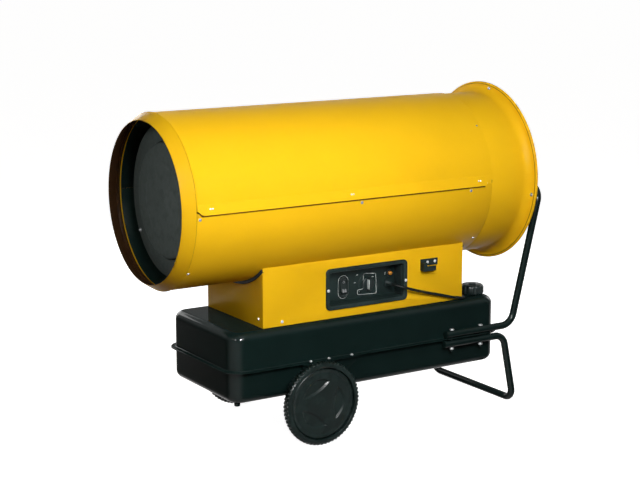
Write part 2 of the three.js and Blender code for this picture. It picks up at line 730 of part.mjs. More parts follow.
// ------------------------------------------------------------------------------------- the box
const FLOOR_Z = TANK_TOP + GAP;
const wallTop = (y) => AXIS_Z - Math.sqrt(BODY_RADIUS ** 2 - y ** 2);
const BOX_TOP = wallTop(BOX_SIDE) - 1;
const barrelRoom = (x0, x1, extra) => {
  const radius = BODY_RADIUS + extra;
  return onAxis([[x0, 0], [x0, radius], [x1, radius], [x1, 0]], ROUND);
};

// The folded frame: a floor and two end walls that rise to the seals under the drum.
function boxFrame() {
  const inner = BOX_SIDE - SHEET - GAP;
  const floor = block([BOX_FRONT, BOX_REAR], [-inner, inner], [FLOOR_Z, FLOOR_Z + SHEET]);
  const end = (x0) => {
    const wall = block([x0, x0 + SHEET], [-inner, inner], [FLOOR_Z, BOX_TOP + 0.5]);
    return cut(wall, barrelRoom(x0 - 5, x0 + 10, SEAL_HEIGHT - 2));
  };
  return join(floor, end(BOX_FRONT), end(BOX_REAR - SHEET));
}

// A rubber channel that sits on an end wall's curved edge and closes the gap to the drum.
function edgeSeal(x) {
  const reach = BODY_RADIUS + SEAL_HEIGHT + 4;
  const band = onAxis(ringed([
    [x - SEAL_WIDTH / 2, BODY_RADIUS + 0.5],
    [x - SEAL_WIDTH / 2, reach],
    [x + SEAL_WIDTH / 2, reach],
    [x + SEAL_WIDTH / 2, BODY_RADIUS + 0.5],
  ]));
  const inner = BOX_SIDE - SHEET - 3 * GAP;
  const span = block([x - SEAL_WIDTH, x + SEAL_WIDTH], [-inner, inner], [AXIS_Z - reach - 5, BOX_TOP + 8]);
  const half = SHEET / 2 + GAP;
  const slit = cut(
    block([x - half, x + half], [-BOX_SIDE, BOX_SIDE], [AXIS_Z - reach - 5, BOX_TOP + 20]),
    barrelRoom(x - 5, x + 5, SEAL_HEIGHT - 2 - GAP),
  );
  return cut(band.intersect(span), slit);
}

function sidePanel(side) {
  const y = [side * (BOX_SIDE - SHEET), side * BOX_SIDE].sort((a, b) => a - b);
  const panel = block([BOX_FRONT, BOX_REAR], y, [FLOOR_Z, BOX_TOP]);
  return cut(panel, barrelRoom(BOX_FRONT - 1, BOX_REAR + 1, 0.5));
}

const PANEL_FACE = -BOX_SIDE;
const TRAY_FLOOR = PANEL_FACE + TRAY_DEPTH;
const TRAY_TOP = wallTop(TRAY_FLOOR + TRAY_WALL) - TRAY_UNDER + TRAY_RIM - TRAY_WALL;
const TRAY_HEIGHT = TRAY_TOP - TANK_TOP - TRAY_LOW;
const trayX = [BOX_FRONT + TRAY_LEFT, BOX_FRONT + TRAY_LEFT + TRAY_WIDTH];
const trayZ = [TANK_TOP + TRAY_LOW, TRAY_TOP];
const opening = (inset, y) =>
  block([trayX[0] + inset, trayX[1] - inset], y, [trayZ[0] + inset, trayZ[1] - inset]);

// A bezel that lies on the panel and a tub that goes through it.
function controlTray() {
  const corner = 14;
  const bezel = alongY(
    outline(roundedRing(trayX[0], trayX[1], TRAY_HEIGHT / 2, corner, 0).map((p) => [
      p.x,
      p.y + (trayZ[0] + trayZ[1]) / 2,
    ])),
    PANEL_FACE - TRAY_PROUD,
    PANEL_FACE - GAP,
  );
  const tub = opening(TRAY_RIM - TRAY_WALL, [PANEL_FACE - 1, TRAY_FLOOR + TRAY_WALL]);
  const hollow = opening(TRAY_RIM, [PANEL_FACE - TRAY_PROUD - 1, TRAY_FLOOR]);
  const hole = (at, radius) => {
    const [x, z] = [BOX_FRONT + at[0], TANK_TOP + at[1]];
    return rod([x, TRAY_FLOOR - 1, z], [x, TRAY_FLOOR + TRAY_WALL + 1, z], radius, 16);
  };
  const holes = [hole(SELECTOR_AT, 4), hole(RESET_AT, RESET_RADIUS + 2), hole(GLAND_AT, 7)];
  return cut(join(bezel, tub), hollow, ...holes, switchCut(GAP));
}

function ovalOutline(width, height, at) {
  const [cx, cz] = [BOX_FRONT + at[0], TANK_TOP + at[1]];
  const radius = width / 2;
  const straight = height / 2 - radius;
  const points = [];
  for (let i = 0; i <= 8; i += 1) {
    const turn = (i / 8) * Math.PI;
    points.push([cx + radius * Math.cos(turn), cz + straight + radius * Math.sin(turn)]);
  }
  for (let i = 0; i <= 8; i += 1) {
    const turn = Math.PI + (i / 8) * Math.PI;
    points.push([cx + radius * Math.cos(turn), cz - straight + radius * Math.sin(turn)]);
  }
  return outline(points);
}

const ROCKER_ROOM = 1.2; // between the rocker and its bezel
const PIN_OUT = ROCKER_ROOM - GAP; // the rocker's pivot pins reach to the housing's sides
const switchHole = () => {
  const [w, h] = ROCKER_SIZE;
  const [x, z] = [BOX_FRONT + SWITCH_AT[0], TANK_TOP + SWITCH_AT[1]];
  return block([x - w / 2 - ROCKER_ROOM, x + w / 2 + ROCKER_ROOM], [TRAY_FLOOR - 30, TRAY_FLOOR + 40],
    [z - h / 2 - ROCKER_ROOM, z + h / 2 + ROCKER_ROOM]);
};
function switchCut(extra) {
  const [w, h] = ROCKER_SIZE;
  const [x, z] = [BOX_FRONT + SWITCH_AT[0], TANK_TOP + SWITCH_AT[1]];
  const side = ROCKER_ROOM + 1.5 + extra;
  return block([x - w / 2 - side, x + w / 2 + side], [TRAY_FLOOR - 1, TRAY_FLOOR + TRAY_WALL + 1],
    [z - h / 2 - side, z + h / 2 + side]);
}

// The oval bezel on the tray's floor with the switch's housing behind it.
function switchBezel() {
  const [w, h] = ROCKER_SIZE;
  const [x, z] = [BOX_FRONT + SWITCH_AT[0], TANK_TOP + SWITCH_AT[1]];
  const oval = ovalOutline(SWITCH_SIZE[0], SWITCH_SIZE[1], SWITCH_AT);
  const face = alongY(oval, TRAY_FLOOR - 4, TRAY_FLOOR - GAP);
  const side = ROCKER_ROOM + 1.5;
  const housing = block([x - w / 2 - side, x + w / 2 + side], [TRAY_FLOOR - 1, TRAY_FLOOR + 24],
    [z - h / 2 - side, z + h / 2 + side]);
  const depth = block([x - w, x + w], [TRAY_FLOOR - 10, TRAY_FLOOR + 21], [z - h, z + h]);
  return cut(join(face, housing), switchHole().intersect(depth));
}

// The rocker: a wedge whose two halves rise from the middle, which turns about its middle.
const ROCKER_PIVOT = TRAY_FLOOR + 8;
function switchRocker() {
  const h = ROCKER_SIZE[1] / 2;
  const w = ROCKER_SIZE[0] / 2;
  const [x, z] = [BOX_FRONT + SWITCH_AT[0], TANK_TOP + SWITCH_AT[1]];
  const face = TRAY_FLOOR - 6;
  const rise = h * Math.tan(rad(ROCKER_TILT));
  const profile = outline([
    [face, z - h + 1.5],
    [face + rise * 0.55, z],
    [face, z + h - 1.5],
    [ROCKER_PIVOT - 4, z + h - 1.5],
    [ROCKER_PIVOT + 3, z + 6],
    [ROCKER_PIVOT + 3, z - 6],
    [ROCKER_PIVOT - 4, z - h + 1.5],
  ]);
  const pins = rod([x - w - PIN_OUT, ROCKER_PIVOT, z], [x + w + PIN_OUT, ROCKER_PIVOT, z], 2, 8);
  const away = [-x, -ROCKER_PIVOT, -z];
  return join(alongX(profile, x - w, x + w), pins)
    .translate(away)
    .rotate([-ROCKER_TILT, 0, 0])
    .translate(away.map((v) => -v));
}

function selectorKnob() {
  const [x, z] = [BOX_FRONT + SELECTOR_AT[0], TANK_TOP + SELECTOR_AT[1]];
  const face = TRAY_FLOOR - 0.8;
  const out = new THREE.Vector3(0, -1, 0);
  const skirt = turned([
    [0, 0],
    [0, SELECTOR_RADIUS],
    [5, SELECTOR_RADIUS - 1.5],
    [5, 0],
  ], new THREE.Vector3(x, face, z), out, 24);
  const half = SELECTOR_RADIUS - 2;
  const grip = block([x - 5, x + 5], [face - SELECTOR_HEIGHT, face - 2], [z - half, z + half]);
  const stem = rod([x, face - 1, z], [x, TRAY_FLOOR + 12, z], 4 - GAP, 12);
  return join(skirt, grip, stem);
}

function resetBezel() {
  const [x, z] = [BOX_FRONT + RESET_AT[0], TANK_TOP + RESET_AT[1]];
  const bore = RESET_RADIUS + GAP;
  return turned(ringed([
    [-12, bore],
    [-12, RESET_RADIUS + 1.7],
    [GAP, RESET_RADIUS + 1.7],
    [GAP, RESET_RADIUS + 5],
    [4, RESET_RADIUS + 3],
    [4, bore],
  ]), new THREE.Vector3(x, TRAY_FLOOR, z), new THREE.Vector3(0, -1, 0), 20);
}

function resetButton() {
  const [x, z] = [BOX_FRONT + RESET_AT[0], TANK_TOP + RESET_AT[1]];
  return turned([
    [-8, 0],
    [-8, RESET_RADIUS],
    [4 + RESET_TRAVEL + 1, RESET_RADIUS],
    [4 + RESET_TRAVEL + 3.5, RESET_RADIUS * 0.7],
    [4 + RESET_TRAVEL + 4.5, 0],
  ], new THREE.Vector3(x, TRAY_FLOOR, z), new THREE.Vector3(0, -1, 0), 16);
}

// The gland: a nut on the tray's floor and a tapered strain relief.
const GLAND_NUT = 6;
const GLAND_RELIEF = 22;
const [GLAND_X, GLAND_Z] = [BOX_FRONT + GLAND_AT[0], TANK_TOP + GLAND_AT[1]];
const GLAND_TIP = TRAY_FLOOR - GAP - GLAND_NUT - GLAND_RELIEF;
function cordGland() {
  return turned([
    [-8, 0],
    [-8, 7 - GAP],
    [GAP, 7 - GAP],
    [GAP, 12],
    [GAP + GLAND_NUT, 12],
    [GAP + GLAND_NUT, 8],
    [GAP + GLAND_NUT + GLAND_RELIEF, 5.5],
    [GAP + GLAND_NUT + GLAND_RELIEF, 0],
  ], new THREE.Vector3(GLAND_X, TRAY_FLOOR, GLAND_Z), new THREE.Vector3(0, -1, 0), 12);
}

// A black clip on the panel: a bar under two screws, and a hook below.
function cableBracket() {
  const [x, z] = [BOX_FRONT + BRACKET_AT[0], TANK_TOP + BRACKET_AT[1]];
  const [w, h] = BRACKET_SIZE;
  const face = PANEL_FACE - GAP;
  const bar = block([x, x + w], [face - 5, face], [z + h - 20, z + h]);
  const web = block([x, x + 12], [face - 22, face], [z, z + h - 8]);
  const shelf = block([x, x + 44], [face - 22, face - 1], [z, z + 7]);
  const nose = block([x, x + 44], [face - 22, face - 17], [z, z + 14]);
  return join(bar, web, shelf, nose);
}

function withHoles(panel) {
  return cut(panel, opening(TRAY_RIM - TRAY_WALL - GAP, [PANEL_FACE - 1, PANEL_FACE + SHEET + 1]));
}

add("box_frame", boxFrame(), YELLOW);
add("front_edge_seal", edgeSeal(BOX_FRONT + SHEET / 2), BLACK_RUBBER);
add("rear_edge_seal", edgeSeal(BOX_REAR - SHEET / 2), BLACK_RUBBER);
add("control_side_panel", withHoles(sidePanel(-1)), YELLOW);
add("far_side_panel", sidePanel(1), YELLOW);
add("control_tray", controlTray(), BLACK_PLASTIC);
add("switch_bezel", switchBezel(), BLACK_PLASTIC);
add("switch_rocker", switchRocker(), BLACK_PLASTIC);
add("selector_knob", selectorKnob(), BLACK_PLASTIC);
add("reset_bezel", resetBezel(), ZINC);
add("reset_button", resetButton(), AMBER);
add("cord_gland", cordGland(), BLACK_PLASTIC);
add("cable_bracket", cableBracket(), BLACK_PLASTIC);

// What stands on the box's floor.
const BOX_FLOOR = FLOOR_Z + SHEET + GAP;
function controlUnit() {
  const x = BOX_FRONT + 60;
  return join(
    block([x, x + 110], [-30, 70], [BOX_FLOOR, BOX_FLOOR + 30]),
    block([x + 6, x + 104], [-24, 64], [BOX_FLOOR + 29, BOX_FLOOR + 66]),
  );
}

function ignitionTransformer() {
  const x = BOX_FRONT + 540;
  const body = block([x, x + 90], [10, 90], [BOX_FLOOR, BOX_FLOOR + 58]);
  const posts = [35, 65].map((y) => rod([x - 14, y, BOX_FLOOR + 36], [x + 4, y, BOX_FLOOR + 36], 7, 8));
  return join(body, ...posts);
}

const FILTER_AT = [BOX_FRONT + 455, 40];
function fuelFilter() {
  const place = new THREE.Vector3(FILTER_AT[0], FILTER_AT[1], BOX_FLOOR);
  return turned([[0, 0], [0, 12], [6, 24], [46, 24], [52, 14], [64, 14], [64, 0]], place,
    new THREE.Vector3(0, 0, 1), 16);
}

// The pipe from the filter's top to the pump's port.
function fuelLine() {
  const from = [FILTER_AT[0], FILTER_AT[1], BOX_FLOOR + 64 + GAP];
  const port = [LINE_X, 0, AXIS_Z - PUMP_RADIUS - 14 - GAP];
  const level = from[2] + 22;
  return tube(bent([from, [from[0], from[1], level], [port[0], port[1], level + 6], port], 12, 3), 4, 8);
}

add("control_unit", controlUnit(), GREY_PLASTIC);
add("ignition_transformer", ignitionTransformer(), BLACK_PLASTIC);
add("fuel_filter", fuelFilter(), ZINC);
add("fuel_line", fuelLine(), COPPER);

// ------------------------------------------------------------------------------------ the tank
const NECK_X = TANK_REAR - NECK_FROM_REAR;
const DRAIN_AT = [TANK_FRONT + 30, 32 - TANK_SIDE];

// Rings of one half, from the seam outwards: the flange, the wall and the rounded edge.
function tankHalf(up, wall) {
  const way = up ? 1 : -1;
  const seam = SEAM_Z + way * (GAP / 2);
  const end = up ? TANK_TOP : TANK_BOTTOM;
  const [x0, x1, half] = [TANK_FRONT, TANK_REAR, TANK_SIDE];
  const ring = (inset, z) =>
    roundedRing(x0 + inset, x1 - inset, half - inset, TANK_CORNER - Math.min(inset, TANK_EDGE), z);
  const rings = [];
  if (wall === 0) {
    const flange = SEAM_Z + way * TANK_WALL;
    rings.push(ring(-WELD_FLANGE, seam), ring(-WELD_FLANGE, flange), ring(0, flange));
  } else {
    rings.push(ring(wall, SEAM_Z - way * 5));
  }
  const edge = TANK_EDGE - wall;
  for (const t of [0, 0.33, 0.67, 1]) {
    const turn = (t * Math.PI) / 2;
    rings.push(ring(wall + edge * (1 - Math.cos(turn)), end - way * (wall + edge * (1 - Math.sin(turn)))));
  }
  return lofted(rings);
}

function boltHoles(radius) {
  const holes = [];
  for (const x of FRAME_BOLTS) {
    for (const side of [-1, 1]) {
      holes.push(rod([x, side * TUBE_Y, STAND_Z - 30], [x, side * TUBE_Y, HANDLE_Z + 30], radius, 8));
    }
  }
  return holes;
}

function tankUpper() {
  const shell = cut(tankHalf(true, 0), tankHalf(true, TANK_WALL));
  const neck = [NECK_X, NECK_SIDE];
  const hole = rod([...neck, TANK_TOP - 12], [...neck, TANK_TOP + 5], NECK_RADIUS - 4, 24);
  return cut(shell, hole, ...boltHoles(BOLT_RADIUS + 1));
}

function tankLower() {
  const shell = cut(tankHalf(false, 0), tankHalf(false, TANK_WALL));
  const bore = (DRAIN_RADIUS + GAP) * 1.05; // clears the plug's corners
  const hole = rod([...DRAIN_AT, TANK_BOTTOM - 5], [...DRAIN_AT, TANK_BOTTOM + 12], bore, 12);
  return cut(shell, hole, ...boltHoles(BOLT_RADIUS + 1));
}

// The drain plug under the tank's near front corner.
function drainPlug() {
  const place = new THREE.Vector3(...DRAIN_AT, TANK_BOTTOM);
  const head = DRAIN_RADIUS + 4;
  const rim = [[-10, 0], [-10, head - 1], [-4, head], [-GAP, head]];
  const stud = [[-GAP, DRAIN_RADIUS], [8, DRAIN_RADIUS], [8, 0]];
  return turned([...rim, ...stud], place, new THREE.Vector3(0, 0, 1), 12);
}

function fillerNeck() {
  const place = new THREE.Vector3(NECK_X, NECK_SIDE, TANK_TOP);
  const bore = NECK_RADIUS - 4;
  return turned(ringed([
    [GAP, bore],
    [GAP, NECK_RADIUS + 6],
    [2.5, NECK_RADIUS + 6],
    [2.5, NECK_RADIUS],
    [NECK_HEIGHT, NECK_RADIUS],
    [NECK_HEIGHT, bore],
  ]), place, new THREE.Vector3(0, 0, 1), 24);
}

function capSeal() {
  const place = new THREE.Vector3(NECK_X, NECK_SIDE, TANK_TOP + NECK_HEIGHT);
  return turned(ringed([
    [GAP, NECK_RADIUS - 4],
    [GAP, NECK_RADIUS],
    [3, NECK_RADIUS],
    [3, NECK_RADIUS - 4],
  ]), place, new THREE.Vector3(0, 0, 1), 24);
}

// The cap: a scalloped rim over the neck, open below, with a raised middle.
function fuelCap() {
  const base = TANK_TOP + 3;
  const place = new THREE.Vector3(NECK_X, NECK_SIDE, base);
  const up = new THREE.Vector3(0, 0, 1);
  const roof = NECK_HEIGHT + GAP; // over the seal, counted from the cap's rim
  const rim = CAP_HEIGHT - 3;
  const body = turned([
    [0, 0],
    [0, CAP_RADIUS],
    [rim - 5, CAP_RADIUS],
    [rim, CAP_RADIUS - 6],
    [rim, 14],
    [CAP_HEIGHT, 12],
    [CAP_HEIGHT, 0],
  ], place, up, 24);
  const room = NECK_RADIUS + 1.5;
  const hollow = turned([[-1, 0], [-1, room], [roof, room], [roof, 0]], place, up, 24);
  const scallops = Array.from({ length: 8 }, (_, i) => {
    const turn = ((i + 0.5) / 8) * 2 * Math.PI;
    const x = NECK_X + (CAP_RADIUS + 3.5) * Math.cos(turn);
    const y = NECK_SIDE + (CAP_RADIUS + 3.5) * Math.sin(turn);
    return rod([x, y, base - 1], [x, y, base + CAP_HEIGHT + 1], 7, 8);
  });
  return cut(body, hollow, ...scallops);
}

add("tank_upper", tankUpper(), BLACK_PAINT);
add("tank_lower", tankLower(), BLACK_PAINT);
add("drain_plug", drainPlug(), ZINC);
add("filler_neck", fillerNeck(), BLACK_PAINT);
add("cap_seal", capSeal(), BLACK_RUBBER);
add("fuel_cap", fuelCap(), BLACK_PLASTIC);

// ------------------------------------------------------------------------------ running gear
const AXLE_BORE = AXLE_RADIUS + GAP;
const WHEEL_SIDES = 24;

function axle() {
  const reach = WHEEL_Y + 4;
  return rod([AXLE_STATION, -reach, AXLE_Z], [AXLE_STATION, reach, AXLE_Z], AXLE_RADIUS, 16);
}

// A plate beside the tank that hangs from the weld flange and holds the axle.
function axleBracket(side) {
  const y0 = TANK_SIDE + 2;
  const y = [side * y0, side * (y0 + PLATE)].sort((a, b) => a - b);
  const top = FLANGE_UNDER - GAP;
  const plate = alongY(outline([
    [AXLE_STATION - 38, top],
    [AXLE_STATION - 20, AXLE_Z - 6],
    [AXLE_STATION - 10, AXLE_Z - 18],
    [AXLE_STATION + 10, AXLE_Z - 18],
    [AXLE_STATION + 20, AXLE_Z - 6],
    [AXLE_STATION + 148, top - 16],
    [AXLE_STATION + 148, top],
  ]), y[0], y[1]);
  const lip = block([AXLE_STATION - 38, AXLE_STATION + 148],
    [side * y0, side * (TANK_SIDE + WELD_FLANGE - 0.5)].sort((a, b) => a - b), [top - PLATE, top]);
  const bore = rod([AXLE_STATION, -400, AXLE_Z], [AXLE_STATION, 400, AXLE_Z], AXLE_BORE, 16);
  return cut(join(plate, lip), bore);
}

// A piece of a wheel about its own axis, outwards from the wheel's middle, with a facet down.
function onWheel(profile, side) {
  const place = new THREE.Vector3(AXLE_STATION, side * WHEEL_Y, AXLE_Z);
  return turned(profile, place, new THREE.Vector3(0, side, 0), WHEEL_SIDES, true);
}

// A moulded wheel with its hub, web and rim; its open face is outwards.
const COVER_SEAT = WHEEL_WIDTH / 2 - 11;
function wheel(side) {
  const half = WHEEL_WIDTH / 2;
  const rim = WHEEL_RADIUS / Math.cos(Math.PI / WHEEL_SIDES);
  return onWheel(ringed([
    [-half + 2, AXLE_BORE],
    [-half + 2, 24],
    [-5, 26],
    [-5, WHEEL_RADIUS - 22],
    [-half, WHEEL_RADIUS - 20],
    [-half, WHEEL_RADIUS - 5],
    [-half + 6, rim],
    [half - 6, rim],
    [half, WHEEL_RADIUS - 5],
    [half, WHEEL_RADIUS - 18],
    [COVER_SEAT, WHEEL_RADIUS - 20],
    [COVER_SEAT, WHEEL_RADIUS - 26],
    [2, WHEEL_RADIUS - 26],
    [2, AXLE_BORE],
  ]), side);
}

// The smooth dished cover that closes the wheel's outer face.
function wheelCover(side) {
  const seat = COVER_SEAT + GAP;
  const edge = WHEEL_RADIUS - 20 - 1;
  return onWheel([
    [seat + 1.5, 0],
    [seat, 80],
    [seat, edge],
    [seat + 6, edge],
    [seat + 3, 84],
    [seat + 5, 0],
  ], side);
}

function framePlate(side) {
  const y = [side * (TANK_SIDE + 3), side * (TUBE_Y + TUBE_RADIUS - 1)].sort((a, b) => a - b);
  const z0 = FLANGE_TOP + GAP;
  const plate = block([FRAME_BOLTS[0] - 20, FRAME_BOLTS[1] + 20], y, [z0, z0 + PLATE]);
  return cut(plate, ...boltHoles(BOLT_RADIUS + 0.5));
}

function frameBolt(x, side) {
  const under = STAND_Z - TUBE_RADIUS - 0.5;
  const top = HANDLE_Z + TUBE_RADIUS + 0.5;
  return turned([
    [under - 14, 0],
    [under - 14, BOLT_RADIUS],
    [under - 7, BOLT_RADIUS],
    [under - 7, 7.5],
    [under, 7.5],
    [under, BOLT_RADIUS],
    [top, BOLT_RADIUS],
    [top, 7.5],
    [top + 5, 7.5],
    [top + 5, 0],
  ], new THREE.Vector3(x, side * TUBE_Y, 0), new THREE.Vector3(0, 0, 1), 6);
}

function handleTube() {
  const lean = Math.tan(rad(HANDLE_LEAN));
  const top = [HANDLE_CORNER + (HANDLE_TOP - HANDLE_Z) * lean, HANDLE_TOP];
  const half = (side) => [
    [HANDLE_FRONT, side * TUBE_Y, HANDLE_Z],
    [HANDLE_CORNER, side * TUBE_Y, HANDLE_Z],
    [top[0], side * TUBE_Y, top[1]],
  ];
  return cut(tube(bent([...half(-1), ...half(1).reverse()], TUBE_BEND, 3), TUBE_RADIUS, 8, TUBE_WALL),
    ...boltHoles(BOLT_RADIUS + 0.5));
}

// The stand: its floor bar is pressed flat underneath, where it rests.
const FLAT = 0.8;
function standTube() {
  const lean = Math.tan(rad(STAND_LEAN));
  const low = TUBE_RADIUS - FLAT;
  const corner = TANK_REAR + STAND_BEHIND;
  const half = (side) => [
    [HANDLE_FRONT - 6, side * TUBE_Y, STAND_Z],
    [corner, side * TUBE_Y, STAND_Z],
    [corner + (STAND_Z - low) * lean, side * TUBE_Y, low],
  ];
  const bar = tube(bent([...half(-1), ...half(1).reverse()], TUBE_BEND - 8, 3), TUBE_RADIUS, 8, TUBE_WALL);
  const ground = block([corner - 200, corner + 300], [-400, 400], [-50, 0]);
  return cut(bar, ground, ...boltHoles(BOLT_RADIUS + 0.5));
}

add("axle", axle(), ZINC);
for (const [prefix, side] of [["near", -1], ["far", 1]]) {
  add(prefix + "_axle_bracket", axleBracket(side), BLACK_PAINT);
  add(prefix + "_wheel", wheel(side), WHEEL_PLASTIC);
  add(prefix + "_wheel_cover", wheelCover(side), WHEEL_PLASTIC);
  add(prefix + "_frame_plate", framePlate(side), BLACK_PAINT);
  add(prefix + "_front_frame_bolt", frameBolt(FRAME_BOLTS[0], side), ZINC);
  add(prefix + "_rear_frame_bolt", frameBolt(FRAME_BOLTS[1], side), ZINC);
}
add("handle_tube", handleTube(), BLACK_PAINT);
add("stand_tube", standTube(), BLACK_PAINT);

// ------------------------------------------------------------------------------- supply cord
const LYING = TANK_TOP + CORD / 2 + GAP;
const COIL_ENTRY = [BOX_REAR + 7.5, 47, LYING];
const COIL_CENTRE = [COIL_ENTRY[0] + COIL_RADIUS, COIL_ENTRY[1] + CORD];
const COIL_EXIT = [COIL_ENTRY[0], COIL_CENTRE[1] + CORD, LYING + COIL_PITCH];

// Stations of a cord: straight at both ends, on a smooth curve between.
function corded(route, steps) {
  const points = route.map((p) => new THREE.Vector3(...p));
  const curve = new THREE.CatmullRomCurve3(points.slice(1, -1), false, "centripetal");
  return [points[0], ...curve.getSpacedPoints(steps), points.at(-1)];
}

// The free run: out of the gland, over the tray's rim, along the panel and round the box's corner.
function cordRun() {
  const route = [
    [GLAND_X, GLAND_TIP - GAP, GLAND_Z],
    [GLAND_X, GLAND_TIP - CORD, GLAND_Z],
    [GLAND_X + 6, GLAND_TIP - 21, GLAND_Z - 2],
    [GLAND_X + 18, GLAND_TIP - 29, GLAND_Z - 5.5],
    [GLAND_X + 34, GLAND_TIP - 31.5, GLAND_Z - 10],
    [GLAND_X + 60, GLAND_TIP - 30, GLAND_Z - 17.5],
    [GLAND_X + 100, GLAND_TIP - 28, GLAND_Z - 28],
    [GLAND_X + 150, GLAND_TIP - 27, GLAND_Z - 41],
    [GLAND_X + 195, GLAND_TIP - 27, GLAND_Z - 54],
    [BOX_REAR - 34, PANEL_FACE - 13, LYING + 7],
    [BOX_REAR - 14, PANEL_FACE - 13, LYING + 2.5],
    [BOX_REAR + 1, PANEL_FACE - 8, LYING + 0.6],
    [BOX_REAR + 10.5, PANEL_FACE + 5, LYING],
    [BOX_REAR + 13, PANEL_FACE + 22, LYING],
    [BOX_REAR + 12, PANEL_FACE + 60, LYING],
    [BOX_REAR + 9.5, PANEL_FACE + 120, LYING],
    [BOX_REAR + 7.8, PANEL_FACE + 170, LYING],
    [COIL_ENTRY[0], COIL_ENTRY[1] - 12, LYING],
    [COIL_ENTRY[0], COIL_ENTRY[1] - GAP, LYING],
  ];
  return tube(corded(route, 30), CORD / 2, 8);
}

// The stored length: two turns spiral in on the tank's top and two spiral out on them. The turns
// run clockwise from above, and climb in the half turn where the spiral reverses.
function coilStations() {
  const half = COIL_TURNS / 2;
  const [cx, cy] = COIL_CENTRE;
  const stations = [new THREE.Vector3(...COIL_ENTRY)];
  for (let i = 0; i <= COIL_TURNS * COIL_STEPS; i += 1) {
    const t = i / COIL_STEPS;
    const radius = COIL_RADIUS - COIL_PITCH * (half - Math.abs(t - half));
    const climb = THREE.MathUtils.clamp((t - half) * 2 + 0.5, 0, 1);
    const turn = Math.PI - t * 2 * Math.PI;
    const z = LYING + COIL_PITCH * climb;
    stations.push(new THREE.Vector3(cx + radius * Math.cos(turn), cy + radius * Math.sin(turn), z));
  }
  stations.push(new THREE.Vector3(...COIL_EXIT));
  return stations;
}

// A tube of six sides through stations, as one closed skin.
function wound(stations, radius) {
  const path = new StationPath(stations);
  const frames = path.computeFrenetFrames(stations.length - 1, false);
  const rings = stations.map((place, k) =>
    Array.from({ length: 6 }, (_, i) => {
      const turn = ((i + 0.5) / 6) * 2 * Math.PI;
      const side = frames.normals[k].clone().multiplyScalar(radius * Math.cos(turn));
      return side.add(frames.binormals[k].clone().multiplyScalar(radius * Math.sin(turn))).add(place);
    }),
  );
  return lofted(rings);
}

// The least gap between turns, measured on points at least half a turn apart.
function leastGap(stations, diameter) {
  let least = Infinity;
  stations.forEach((p, i) => {
    for (let k = i + COIL_STEPS / 2; k < stations.length; k += 1) {
      const q = stations[k];
      const next = stations[Math.min(k + 1, stations.length - 1)];
      const near = new THREE.Line3(q, next).closestPointToPoint(p, true, new THREE.Vector3());
      least = Math.min(least, near.distanceTo(p) - diameter);
    }
  });
  return least;
}

function cordCoil() {
  const stations = coilStations();
  console.log("coil's least gap to itself: " + leastGap(stations, CORD).toFixed(2) + " mm");
  return wound(stations, CORD / 2);
}

const PLUG_AXIS = TANK_TOP + PLUG_RADIUS + GAP;
const TAIL_SHIFT = 13;
const TAIL_LENGTH = 38;
const TAIL_END = [COIL_EXIT[0] + TAIL_SHIFT, COIL_EXIT[1] + TAIL_LENGTH, PLUG_AXIS];
function cordTail() {
  const [x, y, z] = COIL_EXIT;
  const route = [
    [x, y + GAP, z],
    [x, y + 5, z],
    [x + TAIL_SHIFT * 0.3, y + TAIL_LENGTH * 0.4, z + (PLUG_AXIS - z) * 0.3],
    [x + TAIL_SHIFT * 0.7, y + TAIL_LENGTH * 0.6, z + (PLUG_AXIS - z) * 0.7],
    [x + TAIL_SHIFT, y + TAIL_LENGTH - 5, PLUG_AXIS],
    [x + TAIL_SHIFT, y + TAIL_LENGTH - GAP, PLUG_AXIS],
  ];
  return tube(corded(route, 6), CORD / 2, 8);
}

// A round mains plug with a tapered neck and two pins.
function plug() {
  const [x, y, z] = TAIL_END;
  const body = turned([
    [0, 0],
    [0, 5.5],
    [20, 9],
    [24, PLUG_RADIUS - 3],
    [20 + PLUG_LENGTH - 8, PLUG_RADIUS],
    [20 + PLUG_LENGTH, PLUG_RADIUS],
    [20 + PLUG_LENGTH, 0],
  ], new THREE.Vector3(x, y, z), new THREE.Vector3(0, 1, 0), 16, true);
  const face = y + 20 + PLUG_LENGTH;
  const pins = [-9.5, 9.5].map((side) => rod([x + side, face - 2, z], [x + side, face + 19, z], 2.4, 8));
  return join(body, ...pins);
}

add("cord_run", cordRun(), BLACK_RUBBER);
add("cord_coil", cordCoil(), BLACK_RUBBER);
add("cord_tail", cordTail(), BLACK_RUBBER);
add("plug", plug(), BLACK_RUBBER);

export default heater;
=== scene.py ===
# %% [markdown]
# # A forced air heater
# The real object burns oil in a can inside a long drum, and a fan blows air round the can and out
# of the front. The drum stands on a box with the controls, the box on a fuel tank, and the tank on
# two wheels and a bent tube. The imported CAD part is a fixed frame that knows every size, so each
# piece here is made to that frame's measures and rides on one of its bodies.

import math

import bmesh
import bpy
from mathutils import Matrix, Vector


